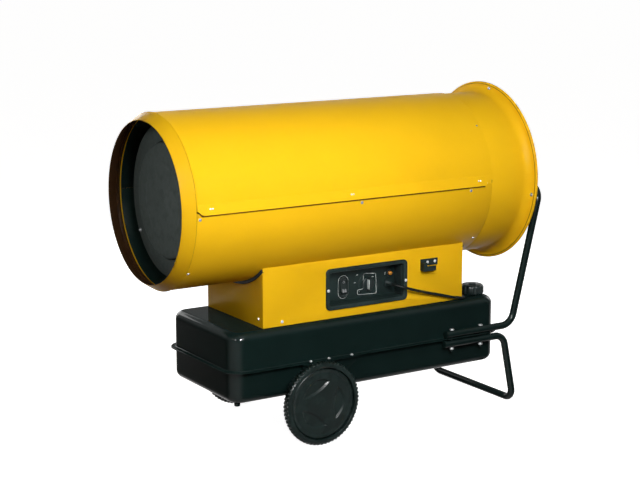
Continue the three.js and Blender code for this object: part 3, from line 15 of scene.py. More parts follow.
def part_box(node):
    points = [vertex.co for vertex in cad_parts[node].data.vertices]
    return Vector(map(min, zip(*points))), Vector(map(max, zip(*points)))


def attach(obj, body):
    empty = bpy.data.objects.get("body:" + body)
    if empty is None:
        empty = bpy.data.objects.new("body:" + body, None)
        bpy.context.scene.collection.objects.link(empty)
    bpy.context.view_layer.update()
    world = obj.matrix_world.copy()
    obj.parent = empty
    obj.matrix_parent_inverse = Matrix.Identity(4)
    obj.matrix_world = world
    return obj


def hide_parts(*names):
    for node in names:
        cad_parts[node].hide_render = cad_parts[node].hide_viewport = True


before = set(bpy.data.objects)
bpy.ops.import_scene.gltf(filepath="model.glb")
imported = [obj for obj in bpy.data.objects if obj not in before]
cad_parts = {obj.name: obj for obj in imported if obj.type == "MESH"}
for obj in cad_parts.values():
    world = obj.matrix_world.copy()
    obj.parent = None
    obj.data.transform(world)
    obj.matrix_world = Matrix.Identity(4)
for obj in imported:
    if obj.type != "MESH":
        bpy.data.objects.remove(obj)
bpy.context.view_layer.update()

# %% [markdown]
# ## Measures
# The maker of such a heater measures along the drum from the seam between its outlet ring and its
# shells. The pieces are drawn in millimetres from there, which keeps the numbers short, and are
# moved into the frame, in metres, when they are finished.

# %% Measures
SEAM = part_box("upper_shell")[0].x
AXIS = 714  # height of the drum's axis
DRUM = 250  # radius of the shells
SHEET = 1.5  # thickness of the sheet metal
TO_FRAME = Matrix.Translation((SEAM, 0, 0)) @ Matrix.Scale(0.001, 4)


print("seam at", round(SEAM, 5))

# %% [markdown]
# ## Camera
# The photograph was taken with a long lens from in front of the near side, a little above the
# drum. The lens and place were fitted to points that both the picture and the model have, such as
# the drum's ends and the wheel's rim, because a camera set by eye is always a little off.


# %% Camera
def in_scene(name, data):
    """A new object in the scene, which holds the data."""
    made = bpy.data.objects.new(name, data)
    bpy.context.scene.collection.objects.link(made)
    return made


def facing(way):
    """The turn that points a camera or a lamp this way."""
    return Vector(way).to_track_quat("-Z", "Y").to_euler()


camera = in_scene("camera", bpy.data.cameras.new("camera"))
camera.location = (-2.52342, -3.91065, 1.45597)
camera.rotation_euler = facing((0.52405, 0.82962, -0.19264))
camera.data.lens = 88.2
bpy.context.scene.camera = camera
bpy.context.scene.view_settings.view_transform = "Standard"
print("camera", tuple(camera.location))

# %% [markdown]
# ## The cord's route
# A cord could be simulated, but it is only laid: out of its gland, over the tray's rim, along the
# panel and round the box's corner to a coil on the tank's top. A smooth curve through a few
# points that touch what carries them gives that, and the coil follows a rule of its own.


# %% The cord's route
def smooth_route(points, steps):
    """Points on a curve through the given ones, after the rule of centripetal Catmull-Rom."""
    spots = [Vector(p) for p in points]
    spots = [2 * spots[0] - spots[1], *spots, 2 * spots[-1] - spots[-2]]
    route = []
    for a, b, c, d in zip(spots, spots[1:], spots[2:], spots[3:]):
        t1 = (b - a).length ** 0.5
        t2 = t1 + (c - b).length ** 0.5
        t3 = t2 + (d - c).length ** 0.5
        for k in range(steps):
            t = t1 + (t2 - t1) * k / steps
            ab = a.lerp(b, t / t1)
            bc = b.lerp(c, (t - t1) / (t2 - t1))
            cd = c.lerp(d, (t - t2) / (t3 - t2))
            low, high = ab.lerp(bc, t / t2), bc.lerp(cd, (t - t1) / (t3 - t1))
            route.append(low.lerp(high, (t - t1) / (t2 - t1)))
    return [*route, spots[-2]]


CORD_EXIT = (707, -151.3, 421)
CORD_RADIUS = 4
PLUG = (979.5, 101, 366.3)  # where the cord goes into its plug
LYING = 352.3  # height of the cord's middle where it lies on the tank
run = smooth_route([
    (707, -152.5, 421), (709.2, -164.6, 420.3), (716.2, -175.2, 418.2), (726.8, -182.2, 415),
    (739, -184.7, 411.3), (767, -183, 402.3), (807, -180, 390.3), (857, -178.3, 376.8),
    (902, -178.2, 364.2), (922, -178.1, LYING + 7.3),
    (940, -177.9, LYING + 4), (952.2, -175.5, LYING + 2.1), (962.6, -168.5, LYING + 0.8),
    (969.6, -158.1, LYING + 0.2), (972.2, -145.8, LYING), (972.4, -125, LYING), (971, -105, LYING),
    (968.5, -45, LYING), (966.8, 5, LYING), (966.5, 35, LYING), (966.5, 46.7, LYING),
], 5)
print("run", len(run), "points")

# %% The coil of the stored length
COIL, COIL_RADIUS = (1015, 55), 48.5
TURN_PITCH = 8.6  # a cord's thickness and a little air
TURNS_IN = 2  # turns that spiral in, before as many spiral out on top of them
TURN_SPOTS = 24
coil = []
for i in range(2 * TURNS_IN * TURN_SPOTS + 1):
    t = i / TURN_SPOTS  # turns so far
    radius = COIL_RADIUS - TURN_PITCH * (TURNS_IN - abs(t - TURNS_IN))
    climb = min(max(t - TURNS_IN + 0.5, 0), 1)
    climb = climb * climb * (3 - 2 * climb)  # one easy turn up to the second layer
    turn = math.pi - 2 * math.pi * t
    spot = (COIL[0] + radius * math.cos(turn), COIL[1] + radius * math.sin(turn))
    coil.append(Vector((*spot, LYING + TURN_PITCH * climb)))
tail = smooth_route([
    (967.2, 63.1, 361.2), (969.4, 70.9, 362.1), (973, 78, 363.6), (976.6, 85.1, 365.1),
    (978.8, 92.9, 366), PLUG,
], 5)
route = [TO_FRAME @ spot for spot in (Vector(CORD_EXIT), *run, *coil, *tail)]
cord_length = sum((b - a).length for a, b in zip(route, route[1:]))
print("cord", round(cord_length, 4), "m")

# %% [markdown]
# ## A way to write finishes
# Materials could be built by hand in the Shader Editor. Written as Python expressions they can be
# read like the maths they are: a Field wraps one output socket, and adding or multiplying Fields
# adds Math nodes. The same method adds any other node, for materials and for Geometry Nodes.


# %% Fields and node graphs
class Field:
    """A value that changes over a surface or along points: one output socket of a node."""

    def __init__(self, graph, socket):
        self.graph, self.socket = graph, socket

    def maths(self, operation, other):
        return self.graph.node("ShaderNodeMath", {0: self, 1: other}, operation=operation)

    def __rsub__(self, other):
        return self.graph.node("ShaderNodeMath", {0: other, 1: self}, operation="SUBTRACT")


SIGNS = {"add": "ADD", "sub": "SUBTRACT", "mul": "MULTIPLY", "truediv": "DIVIDE", "pow": "POWER",
         "lt": "LESS_THAN", "gt": "GREATER_THAN"}
for sign, operation in SIGNS.items():
    setattr(Field, f"__{sign}__", lambda self, other, operation=operation: self.maths(operation, other))


class Graph:
    """A node tree, and the one method that adds nodes to it. Extra names are the node's settings."""

    def node(self, kind, sockets=None, output=0, **settings):
        made = self.tree.nodes.new(kind)
        for name, value in settings.items():
            setattr(made, name, value)
        for name, value in (sockets or {}).items():
            if isinstance(value, Field):
                self.tree.links.new(value.socket, made.inputs[name])
            else:
                made.inputs[name].default_value = value
        return Field(self, made.outputs[output])


print("fields can be combined by", list(SIGNS))


# %% Finishes
class Finish(Graph):
    """A material in the making, round one Principled shader. slot is stored but not used."""

    def __init__(self, name, slot, colour, **numbers):
        self.slot = slot
        self.material = bpy.data.materials.new(name)
        self.material.use_nodes = True
        self.tree = self.material.node_tree
        self.shader = self.tree.nodes["Principled BSDF"]
        self.colour = (*colour, 1)
        self.set("Base Color", self.colour)
        for socket, value in numbers.items():
            self.set(socket.replace("_", " "), value)
        place = self.tree.nodes.new("ShaderNodeTexCoord")
        self.place = Field(self, place.outputs["Object"])
        self.facing = Field(self, place.outputs["Normal"])

    def set(self, socket, value):
        if isinstance(value, Field):
            self.tree.links.new(value.socket, self.shader.inputs[socket])
        else:
            self.shader.inputs[socket].default_value = value

    def noise(self, scale, detail, stretch=(1, 1, 1)):
        place = self.node("ShaderNodeVectorMath", {0: self.place, 1: stretch}, operation="MULTIPLY")
        return self.node("ShaderNodeTexNoise", {"Vector": place, "Scale": scale, "Detail": detail})

    def spread(self, value, low, high, start=0.0, end=1.0):
        """value from low..high, smoothly moved to start..end."""
        return self.node("ShaderNodeMapRange", {0: value, 1: low, 2: high, 3: start, 4: end},
                         interpolation_type="SMOOTHSTEP")

    def axes(self, vector):
        split = self.node("ShaderNodeSeparateXYZ", {0: vector}).socket.node
        return [Field(self, socket) for socket in split.outputs]

    def tint(self, mask, other, base=None):
        """The colour, or base, where mask is 0, and the other one where it is 1."""
        first = self.colour if base is None else base
        second = other if isinstance(other, Field) else (*other, 1)
        return self.node("ShaderNodeMix", {0: mask, 6: first, 7: second}, 2, data_type="RGBA")

    def bump(self, height, depth):
        """height from 0 to 1, as a relief that is depth metres deep."""
        relief = self.node("ShaderNodeBump", {"Strength": 1.0, "Distance": depth, "Height": height})
        self.set("Normal", relief)


def shade(colour, factor):
    return tuple(min(part * factor, 1) for part in colour)


print("finishes can be made")

# %% [markdown]
# ## Enamel
# The sheets are sprayed and baked. Sprayed enamel is never quite flat: it has the fine waves that
# painters call orange peel, its colour drifts a little from sheet to sheet, and fingers and dust
# leave some parts duller than others. A photograph on the sheets would fix all that to one view,
# so it is made of noise at four scales. The black sheets only gleam where they bend, so their
# clear coat grows as the surface turns away from the three axes. Inside the open drum the paint is
# dark, partly from heat and partly as painted shade, and lines of painted shade lie in its gaps and
# under its edge strip: masks of the place on the drum say where.


# %% Enamel
def enamel(name, slot, colour, roughness, drift, peel, **numbers):
    made = Finish(name, slot, colour, **numbers)
    cloud = made.noise(3.5, 3)
    smear = made.noise(14, 4, (1, 1, 2.5))
    waves = made.noise(420, 2)
    dust_and_shade = made.noise(900, 1)
    made.set("Base Color", made.tint(made.spread(cloud, 0.3, 0.7), shade(colour, drift)))
    made.set("Roughness", made.spread(smear, 0.35, 0.75, roughness, roughness + 0.1))
    made.bump(waves * 0.8 + dust_and_shade * 0.2, peel)
    return made


def yellow_enamel(name):
    return enamel(name, "yellow_paint", (0.92, 0.525, 0.011), 0.3, 0.95, 0.00006, Specular_IOR_Level=0.015)


yellow = yellow_enamel("yellow_enamel")
black = enamel("black_enamel", "black_paint", (0.0055, 0.0135, 0.0125), 0.1, 1.3, 0.00003, IOR=1.042,
               Coat_Roughness=0.06)
across, along, up = black.axes(black.facing)
bent = across ** 4 + along ** 4 + up ** 4  # 1 on flat faces, and less where the sheet bends
black.set("Coat Weight", black.spread(bent, 0.55, 0.96, 0.22, 0))
print("enamels", yellow.material.name, black.material.name)


# %% Enamel with a dark inside and lines of painted shade, for the open drum
MOUTH, GOLD_LINE = 11, 3.4  # the inside is brown up to the mouth's station, and ends in a gold line
FAN_ROOM = 1112  # behind this station the inside is yellow
LIP_AT = 1140  # the collar's line of painted shade is behind this one
STRIP_CORNER = 18  # the edge strip of the upper shell is cut away up to this station
STRIP_FRONT, STRIP_LOW = 723, 711  # heights of its lower edge, at its front end and after the corner


def between(value, low, high):
    return (value > low) * (value < high)


def station(x):
    return SEAM + x / 1000


drum_yellow = yellow_enamel("drum_enamel")
x, y, z = drum_yellow.axes(drum_yellow.place)
_, across, up = drum_yellow.axes(drum_yellow.facing)
height = z - AXIS / 1000
# Inward faces ahead of the fan room are dark: brown near the mouth, then a gold line of the paint, then teal.
# Both dark colours are partly heat darkening and partly painted shade, where little light gets into the drum.
inwards = drum_yellow.spread(y * across + height * up, -0.02, 0.0, 1, 0) * (x < station(FAN_ROOM))
heat_and_shade_brown = drum_yellow.tint(drum_yellow.noise(30, 4), (0.085, 0.038, 0.014), (0.055, 0.025, 0.01, 1))
heat_and_shade_teal = drum_yellow.tint(drum_yellow.noise(25, 5), (0.03, 0.06, 0.055), (0.012, 0.035, 0.034, 1))
paint = Field(drum_yellow, drum_yellow.shader.inputs["Base Color"].links[0].from_socket)
front = drum_yellow.tint(x > station(MOUTH - GOLD_LINE), paint, heat_and_shade_brown)
inside = drum_yellow.tint(x > station(MOUTH), heat_and_shade_teal, front)
# Painted shade: dark brown lines under the edge strip, in the groove behind the outlet ring, where the shells
# end over the intake drum, and on the intake collar's lip.
edge = drum_yellow.spread(x, SEAM, station(STRIP_CORNER), STRIP_FRONT / 1000, STRIP_LOW / 1000)
shadow_under_strip = drum_yellow.spread(z, edge - 0.0065, edge - 0.003) * (z < edge)
reach = (y * y + height * height) ** 0.5
lip = drum_yellow.spread(reach, 0.2725, 0.2738) * drum_yellow.spread(reach, 0.2748, 0.2758, 1, 0)
dust_and_shade = (shadow_under_strip * between(x, station(0.5), station(974)) + between(x, station(-2.4), station(-0.3)) * 0.85
        + between(x, station(1000), station(1002.2)) * 0.8 + lip * (x > station(LIP_AT)) * 0.7)
outside = drum_yellow.tint(dust_and_shade * (1 - inwards), (0.09, 0.035, 0.006), paint)
drum_yellow.set("Base Color", drum_yellow.tint(inwards, inside, outside))
print("drum enamel", drum_yellow.material.name)

# %% [markdown]
# ## Moulded plastics and rubber
# Wheels, tray, knobs and seals are moulded. A mould leaves a fine grain and slow sink marks, and
# the edges that hands and cords rub are a little shinier. Noise again, with its grain finer and
# deeper than the enamel's.


# %% Moulded pieces
def moulded(name, slot, colour, roughness, grain, depth, gloss=0.5):
    made = Finish(name, slot, colour, Specular_IOR_Level=gloss)
    fine = made.noise(grain, 3)
    sink = made.noise(22, 2)
    made.set("Base Color", made.tint(made.spread(sink, 0.35, 0.7), shade(colour, 1.35)))
    made.set("Roughness", made.spread(sink + fine * 0.4, 0.5, 0.95, roughness - 0.06, roughness + 0.07))
    made.bump(fine, depth)
    return made


wheel_plastic = moulded("wheel_plastic", "wheel_plastic", (0.0065, 0.0135, 0.0125), 0.27, 1100, 0.00007, 0.07)
panel_plastic = moulded("panel_plastic", "panel_plastic", (0.007, 0.0155, 0.0145), 0.45, 1500, 0.00006, 0.1)
knob_plastic = moulded("knob_plastic", "panel_plastic", (0.007, 0.013, 0.0125), 0.34, 1500, 0.00003, 0.15)
grey_housing = moulded("grey_housing", "grey_housing", (0.11, 0.115, 0.12), 0.5, 900, 0.00006)
seal_rubber = moulded("seal_rubber", "black_rubber", (0.006, 0.0085, 0.008), 0.62, 700, 0.0001, 0.1)
cord_rubber = moulded("cord_rubber", "cord_rubber", (0.004, 0.006, 0.0058), 0.45, 1300, 0.00005, 0.06)
print("moulded", wheel_plastic.material.name, panel_plastic.material.name)

# %% [markdown]
# ## Metals
# Zinc plate shows faint crystals, steel in the chamber carries scale and heat tints, and copper
# pipe is bright with brown spots. Each is one metallic shader. A crystal pattern comes from
# Voronoi cells, whose random colour per cell is just what a crystal does to light.


# %% Metals
def metal(name, slot, colour, roughness, cells, stain, amount, **numbers):
    made = Finish(name, slot, colour, **{"Metallic": 1.0, **numbers})
    crystal = made.node("ShaderNodeTexVoronoi", {"Vector": made.place, "Scale": cells}, 1)
    facet = made.axes(crystal)[0]
    cloud = made.spread(made.noise(35, 5), 0.45, 0.7)
    made.set("Base Color", made.tint(cloud * amount, stain))
    made.set("Roughness", facet * 0.1 + cloud * 0.12 + roughness)
    made.bump(made.noise(1200, 2), 0.00003)
    return made


zinc = metal("zinc_plate", "zinc", (0.42, 0.43, 0.44), 0.3, 500, (0.28, 0.27, 0.25), 0.5)
bolt_steel = metal("bolt_steel", "zinc", (0.2, 0.21, 0.21), 0.35, 500, (0.1, 0.1, 0.1), 0.5)
chamber_steel = metal("chamber_steel", "chamber_steel", (0.046, 0.06, 0.056), 0.6, 120,
                      (0.038, 0.05, 0.047), 0.6, Metallic=0.2, Specular_IOR_Level=0.1)
copper = metal("copper_pipe", "copper", (0.72, 0.33, 0.17), 0.25, 300, (0.3, 0.13, 0.07), 0.6)
print("metals", zinc.material.name, chamber_steel.material.name, copper.material.name)

# %% [markdown]
# ## Amber lens and printed marks
# The reset button is clear amber plastic with a lamp's shine, so a little light goes into it. The
# tray's marks are screen printed: a thin layer of white ink, worn thin in places.

# %% Amber lens and ink
amber = Finish("amber_lens", "amber_lens", (0.75, 0.30, 0.03), Roughness=0.18, Subsurface_Weight=0.3)
amber.set("Base Color", amber.tint(amber.spread(amber.noise(160, 2), 0.35, 0.7), (0.55, 0.17, 0.015)))
amber.bump(amber.noise(260, 1), 0.00008)
ink = Finish("white_ink", "panel_plastic", (0.62, 0.66, 0.65), Roughness=0.5)
ink.set("Base Color", ink.tint(ink.spread(ink.noise(700, 3), 0.42, 0.7), (0.3, 0.34, 0.33)))
ink.bump(ink.noise(1500, 1), 0.00003)
print("lens and ink")

# %% [markdown]
# ## Tools for shapes
# Sheet metal is rolled, pressed and bent, and each of these has a tool here: an outline with soft
# corners, a profile turned about an axis, an outline drawn straight, a tube along a path and a
# loft through rings. A sharp corner never shines in a render, so every edge gets a small radius,
# either in the outline before it is turned or by a Bevel modifier afterwards.


# %% Soft corners
def soft(corners, radius, steps=4, closed=True):
    """The corners' line with an arc in place of each corner, in two or three dimensions."""
    spots = [Vector(corner) for corner in corners]
    line = [] if closed else [spots[0]]
    for i, corner in enumerate(spots if closed else spots[:-1]):
        if not closed and i == 0:
            continue
        back, on = spots[i - 1] - corner, spots[(i + 1) % len(spots)] - corner
        half = back.angle(on) / 2
        if half > 1.54:
            line.append(corner)
            continue
        reach = min(radius / math.tan(half), 0.48 * back.length, 0.48 * on.length)
        back, on = back.normalized(), on.normalized()
        middle = corner + (back + on).normalized() * reach / math.cos(half)
        first, last = corner + back * reach - middle, corner + on * reach - middle
        sweep = first.angle(last)
        for k in range(steps + 1):
            t = k / steps * sweep
            line.append(middle + (first * math.sin(sweep - t) + last * math.sin(t)) / math.sin(sweep))
    return line if closed else [*line, spots[-1]]


def rounded_box(x0, x1, y0, y1, radius, steps=6):
    return soft([(x0, y0), (x1, y0), (x1, y1), (x0, y1)], radius, steps)


print("a square with soft corners has", len(soft([(0, 0), (1, 0), (1, 1), (0, 1)], 0.1)), "points")


# %% Loft, straight draw and block
def mesh_of(name, places, faces=()):
    mesh = bpy.data.meshes.new(name)
    mesh.from_pydata(places, [], faces)
    return mesh


def loft(name, rings, closed=False):
    """A skin through rings of equal length: closed on itself, or with a face at each end."""
    count = len(rings[0])
    faces = []
    for k in range(len(rings) if closed else len(rings) - 1):
        low, high = k * count, (k + 1) % len(rings) * count
        faces += [(low + i, low + (i + 1) % count, high + (i + 1) % count, high + i) for i in range(count)]
    if not closed:
        faces += [tuple(range(count)), tuple(range((len(rings) - 1) * count, len(rings) * count))]
    mesh = mesh_of(name, [spot for ring in rings for spot in ring], faces)
    shape = bmesh.new()
    shape.from_mesh(mesh)
    bmesh.ops.remove_doubles(shape, verts=shape.verts, dist=0.002)
    bmesh.ops.recalc_face_normals(shape, faces=shape.faces)
    if shape.calc_volume(signed=True) < 0:
        bmesh.ops.reverse_faces(shape, faces=shape.faces)
    shape.to_mesh(mesh)
    shape.free()
    return in_scene(name, mesh)


SIDEWAYS = {"x": lambda a, b, t: (t, a, b), "y": lambda a, b, t: (a, t, b), "z": lambda a, b, t: (a, b, t)}


def drawn(name, outline, low, high, along):
    place = SIDEWAYS[along]
    return loft(name, [[place(a, b, t) for a, b in outline] for t in (low, high)])


def block(name, x, y, z):
    return drawn(name, [(x[0], y[0]), (x[1], y[0]), (x[1], y[1]), (x[0], y[1])], *z, "z")


print("straight draws along", list(SIDEWAYS))


# %% Turned pieces and tubes
def turned(name, profile, place=(0, 0, AXIS), along="x", sides=96, start=0, sweep=360):
    """A closed profile of (distance along, radius) pairs, turned about an axis through a place."""
    whole = sweep == 360
    rings = []
    for k in range(sides if whole else sides + 1):
        turn = math.radians(start + sweep * k / sides)
        a, b = math.sin(turn), math.cos(turn)
        ring = [SIDEWAYS[along](radius * a, radius * b, t) for t, radius in profile]
        rings.append([Vector(place) + Vector(spot) for spot in ring])
    return loft(name, rings, closed=whole)


def tube(name, path, radius, sides=32):
    """A bar with flat ends along a path, whose rings lean halfway at each bend."""
    path = [Vector(spot) for spot in path]
    ways = [(b - a).normalized() for a, b in zip(path, path[1:])]
    across = ways[0].orthogonal().normalized()
    rings = []
    for i, spot in enumerate(path):
        way = (ways[max(i - 1, 0)] + ways[min(i, len(ways) - 1)]).normalized()
        across = (across - way * across.dot(way)).normalized()
        over = way.cross(across)
        reach = radius[i] if isinstance(radius, list) else radius
        turns = [2 * math.pi * k / sides for k in range(sides)]
        rings.append([spot + (across * math.cos(t) + over * math.sin(t)) * reach for t in turns])
    return loft(name, rings)


def joined(name, *pieces):
    """One mesh of several closed ones."""
    shape = bmesh.new()
    for piece in pieces:
        shape.from_mesh(piece.data)
    mesh = bpy.data.meshes.new(name)
    shape.to_mesh(mesh)
    shape.free()
    for piece in pieces:
        bpy.data.objects.remove(piece)
    return in_scene(name, mesh)


print("turned, tube and joined are ready")


# %% Modifiers, made real
def settled(piece):
    """The piece with its modifiers worked into its mesh."""
    graph = bpy.context.evaluated_depsgraph_get()
    mesh = bpy.data.meshes.new_from_object(piece.evaluated_get(graph), preserve_all_data_layers=True,
                                           depsgraph=graph)
    piece.modifiers.clear()
    piece.data = mesh
    return piece


def softened(piece, width, steps=2):
    bevel = piece.modifiers.new("soft edges", "BEVEL")
    bevel.width, bevel.segments = width, steps
    bevel.limit_method, bevel.angle_limit = "ANGLE", math.radians(30)
    return settled(piece)


def holed(piece, *cutters):
    for cutter in cutters:
        cut = piece.modifiers.new("hole", "BOOLEAN")
        cut.operation, cut.object, cut.solver = "DIFFERENCE", cutter, "EXACT"
    settled(piece)
    for cutter in cutters:
        bpy.data.objects.remove(cutter)
    return piece


def traced(node, width, steps=2):
    """A copy of a CAD node with soft edges, in drawing millimetres. Its flat faces are merged first."""
    piece = in_scene(node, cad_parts[node].data.copy())
    piece.data.transform(TO_FRAME.inverted())
    piece.data.materials.clear()
    shape = bmesh.new()
    shape.from_mesh(piece.data)
    bmesh.ops.remove_doubles(shape, verts=shape.verts, dist=0.01)
    bmesh.ops.dissolve_limit(shape, angle_limit=0.01, verts=shape.verts, edges=shape.edges)
    shape.to_mesh(piece.data)
    shape.free()
    return softened(piece, width, steps)


print("modifiers can be settled")


# %% Finishing a piece
def put(piece, finish, body="root", stands_for=(), angle=35, slot=None):
    mesh = piece.data
    mesh.transform(TO_FRAME)
    mesh.materials.clear()
    mesh.materials.append(finish.material)
    mesh.shade_smooth()
    mesh.set_sharp_from_angle(angle=math.radians(angle))
    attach(piece, body)
    if stands_for:
        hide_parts(*stands_for)
    mesh.calc_loop_triangles()
    print(piece.name, len(mesh.loop_triangles), "triangles")
    return piece


def spun(name, profile, finish, radius, steps=4, sides=96, place=(0, 0, AXIS), along="x", **said):
    """A turned piece whose profile gets soft corners, put in the frame."""
    return put(turned(name, soft(profile, radius, steps), place, along, sides), finish, **said)


print("finished pieces can be put in the frame")

# %% [markdown]
# ## Recipes for repeated things
# Screws, lugs, blades, ribs and guard wires repeat. Copying them by hand or with an Array modifier
# works, but a Geometry Nodes tree states the rule itself: one seed, and where it goes. Three rules
# serve here, seeds on points, seeds round an axis, and seeds in a row, and each tree ends in real
# geometry with its material, because loose instances are lost when the model is exported.


# %% Recipes
class Recipe(Graph):
    """A Geometry Nodes tree with named inputs; make() turns it into a plain mesh."""

    def __init__(self, name, **inputs):
        self.tree = bpy.data.node_groups.new(name, "GeometryNodeTree")
        for label, kind in {"Geometry": "Geometry", **inputs, "Finish": "Material"}.items():
            self.tree.interface.new_socket(label, in_out="INPUT", socket_type="NodeSocket" + kind)
        self.tree.interface.new_socket("Geometry", in_out="OUTPUT", socket_type="NodeSocketGeometry")
        self.start = self.tree.nodes.new("NodeGroupInput")

    def __getitem__(self, label):
        return Field(self, self.start.outputs[label])

    def seed(self):
        return self.node("GeometryNodeObjectInfo", {"Object": self["Seed"]}, "Geometry")

    def end(self, geometry):
        real = self.node("GeometryNodeRealizeInstances", {"Geometry": geometry})
        painted = self.node("GeometryNodeSetMaterial", {"Geometry": real, "Material": self["Finish"]})
        end = self.tree.nodes.new("NodeGroupOutput")
        self.tree.links.new(painted.socket, end.inputs["Geometry"])

    def make(self, name, finish, points=((0, 0, 0),), **values):
        mesh = mesh_of(name, points)
        piece = in_scene(name, mesh)
        for label, rows in values.pop("Marks", {}).items():
            mark = mesh.attributes.new(label, "FLOAT_VECTOR", "POINT")
            for i, row in enumerate(rows):
                mark.data[i].vector = row
        work = piece.modifiers.new(name, "NODES")
        work.node_group = self.tree
        for item in self.tree.interface.items_tree:
            value = {**values, "Finish": finish.material}.get(item.name)
            if item.in_out == "INPUT" and value is not None:
                work[item.identifier] = value
        settled(piece)
        if values.get("Seed"):
            bpy.data.objects.remove(values["Seed"])
        return piece


def euler(recipe, axis, angle):
    return recipe.node("FunctionNodeAxisAngleToRotation", {"Axis": axis, "Angle": angle})


print("recipes can be written")


# %% Seeds on points, round an axis and in a row
on_points = Recipe("seeds on points", Seed="Object")
out = on_points.node("GeometryNodeInputNamedAttribute", {"Name": "out"}, data_type="FLOAT_VECTOR")
aimed = on_points.node("FunctionNodeAlignRotationToVector", {"Vector": out}, axis="Z")
index = on_points.node("GeometryNodeInputIndex")
rolled = on_points.node("FunctionNodeRotateRotation", {
    "Rotation": aimed, "Rotate By": euler(on_points, (0, 0, 1), index * 2.4)}, rotation_space="LOCAL")
on_points.end(on_points.node("GeometryNodeInstanceOnPoints", {
    "Points": on_points["Geometry"], "Instance": on_points.seed(), "Rotation": rolled}))

round_axis = Recipe("seeds round an axis", Seed="Object", Count="Int", Axis="Vector", Centre="Vector",
                    Start="Float")
spots = round_axis.node("GeometryNodeMeshLine", {"Count": round_axis["Count"], "Offset": (0, 0, 0)})
angle = round_axis.node("GeometryNodeInputIndex") / round_axis["Count"] * (2 * math.pi) + round_axis["Start"]
wheel_of = round_axis.node("GeometryNodeInstanceOnPoints", {
    "Points": spots, "Instance": round_axis.seed(), "Rotation": euler(round_axis, round_axis["Axis"], angle)})
round_axis.end(round_axis.node("GeometryNodeTransform", {
    "Geometry": wheel_of, "Translation": round_axis["Centre"]}))

in_row = Recipe("seeds in a row", Seed="Object", Count="Int", Step="Vector")
stations = in_row.node("GeometryNodeMeshLine", {"Count": in_row["Count"], "Offset": in_row["Step"]})
in_row.end(in_row.node("GeometryNodeInstanceOnPoints", {"Points": stations, "Instance": in_row.seed()}))
print("recipes", [recipe.tree.name for recipe in (on_points, round_axis, in_row)])


def around(name, seed, count, finish, start=0.0, centre=(0, 0, AXIS), axis=(1, 0, 0), body="root"):
    """Puts copies of a seed, which is drawn about the origin, round an axis through the centre."""
    piece = round_axis.make(name, finish, Seed=seed, Count=count, Axis=axis, Centre=centre,
                            Start=math.radians(start))
    return put(piece, finish, body)


# %% [markdown]
# ## Shells of the drum
# The drum is two rolled half shells. The upper one ends in a strip that is bent outwards, laps
# over the lower shell and is cut away at its corners. Turning a profile can't give that edge, so
# the shell is a grid that is bent into shape by its points, and a Solidify modifier gives it the
# sheet's thickness on the inside.


# %% Grid of a bent sheet
def bent_sheet(name, stations, rows, spot, hole=None):
    """A sheet over stations and rows, whose places come from spot(station, row)."""
    count = len(rows)
    places = [spot(x, row) for x in stations for row in rows]
    faces = []
    for k in range(len(stations) - 1):
        for i in range(count - 1):
            if hole is None or not hole(stations[k], rows[i]):
                a = k * count + i
                faces.append((a, a + 1, a + count + 1, a + count))
    piece = in_scene(name, mesh_of(name, places, faces))
    wall = piece.modifiers.new("wall", "SOLIDIFY")
    wall.thickness, wall.offset = SHEET, -1
    return softened(settled(piece), 0.35)


def rim(radius, degrees):
    """(y, z) of a point round the drum's axis, counted in degrees from the top."""
    turn = math.radians(degrees)
    return radius * math.sin(turn), AXIS + radius * math.cos(turn)


print("the shells meet at height", round(rim(DRUM, 90)[1]))

# %% Upper shell
STRIP_TURN = 84.26  # where the strip starts, from the top
STRIP_TOP = 739  # height where it starts
STRIP_OUT = 256.2 - 249.1  # how much further out its lower edge is
STRIP_EDGE = {0: STRIP_FRONT, STRIP_CORNER: STRIP_LOW, 973: STRIP_LOW, 985: 727, 1000: 727}


def strip_low(x):
    """Height of the strip's lower edge at a station."""
    known = sorted(STRIP_EDGE)
    for a, b in zip(known, known[1:]):
        if a <= x <= b:
            return STRIP_EDGE[a] + (STRIP_EDGE[b] - STRIP_EDGE[a]) * (x - a) / (b - a)


def upper_spot(x, row):
    """Rows from -1 to 1 are on the half circle, and those beyond run down the strips."""
    if abs(row) <= 1:
        return (x, *rim(DRUM, row * STRIP_TURN))
    y, z = rim(DRUM, STRIP_TURN)
    z -= (abs(row) - 1) * (z - strip_low(x))
    y += 0.35 + (STRIP_TOP - z) * STRIP_OUT / (STRIP_TOP - STRIP_LOW)
    return x, math.copysign(y, row), z


strip_rows = [1.02, 1.06, 1.3, 1.6, 2]
upper_rows = [-row for row in reversed(strip_rows)] + [i / 60 for i in range(-60, 61)] + strip_rows
upper_stations = sorted([*STRIP_EDGE, 150, 300, 450, 600, 750, 900])
upper = bent_sheet("upper_shell_sheet", upper_stations, upper_rows, upper_spot)
put(upper, drum_yellow, stands_for=["upper_shell"], angle=20)

# %% Lower shell
LOWER_TURN = 89.3  # where the sheet starts, from the top
HOLE_FROM, HOLE_TO = 790, 840  # stations of the hole in its floor
HOLE_TURN = 173.1  # the last row before the hole
side_rows = [LOWER_TURN + i * (HOLE_TURN - LOWER_TURN) / 56 for i in range(57)]
lower_rows = side_rows + [174.5 + i * 11 / 6 for i in range(7)] + [360 - row for row in reversed(side_rows)]
lower_stations = [0, 160, 320, 480, 640, HOLE_FROM, HOLE_TO, 1000]


def lower_spot(x, row):
    return (x, *rim(DRUM, row))


def in_hole(x, row):
    """Whether the face that starts here is left out, for what comes up from the box."""
    return x == HOLE_FROM and HOLE_TURN - 0.1 < row < 359.9 - HOLE_TURN


lower = bent_sheet("lower_shell_sheet", lower_stations, lower_rows, lower_spot, in_hole)
put(lower, drum_yellow, stands_for=["lower_shell"])

# %% [markdown]
# ## Outlet ring and intake drum
# Both are spun on a lathe from sheet: a cone with a rolled lip in front, and behind a short drum
# whose mouth flares to a flat collar. A spun piece is its profile turned about the axis, so that
# is how they are made here, with the profile's corners softened first.

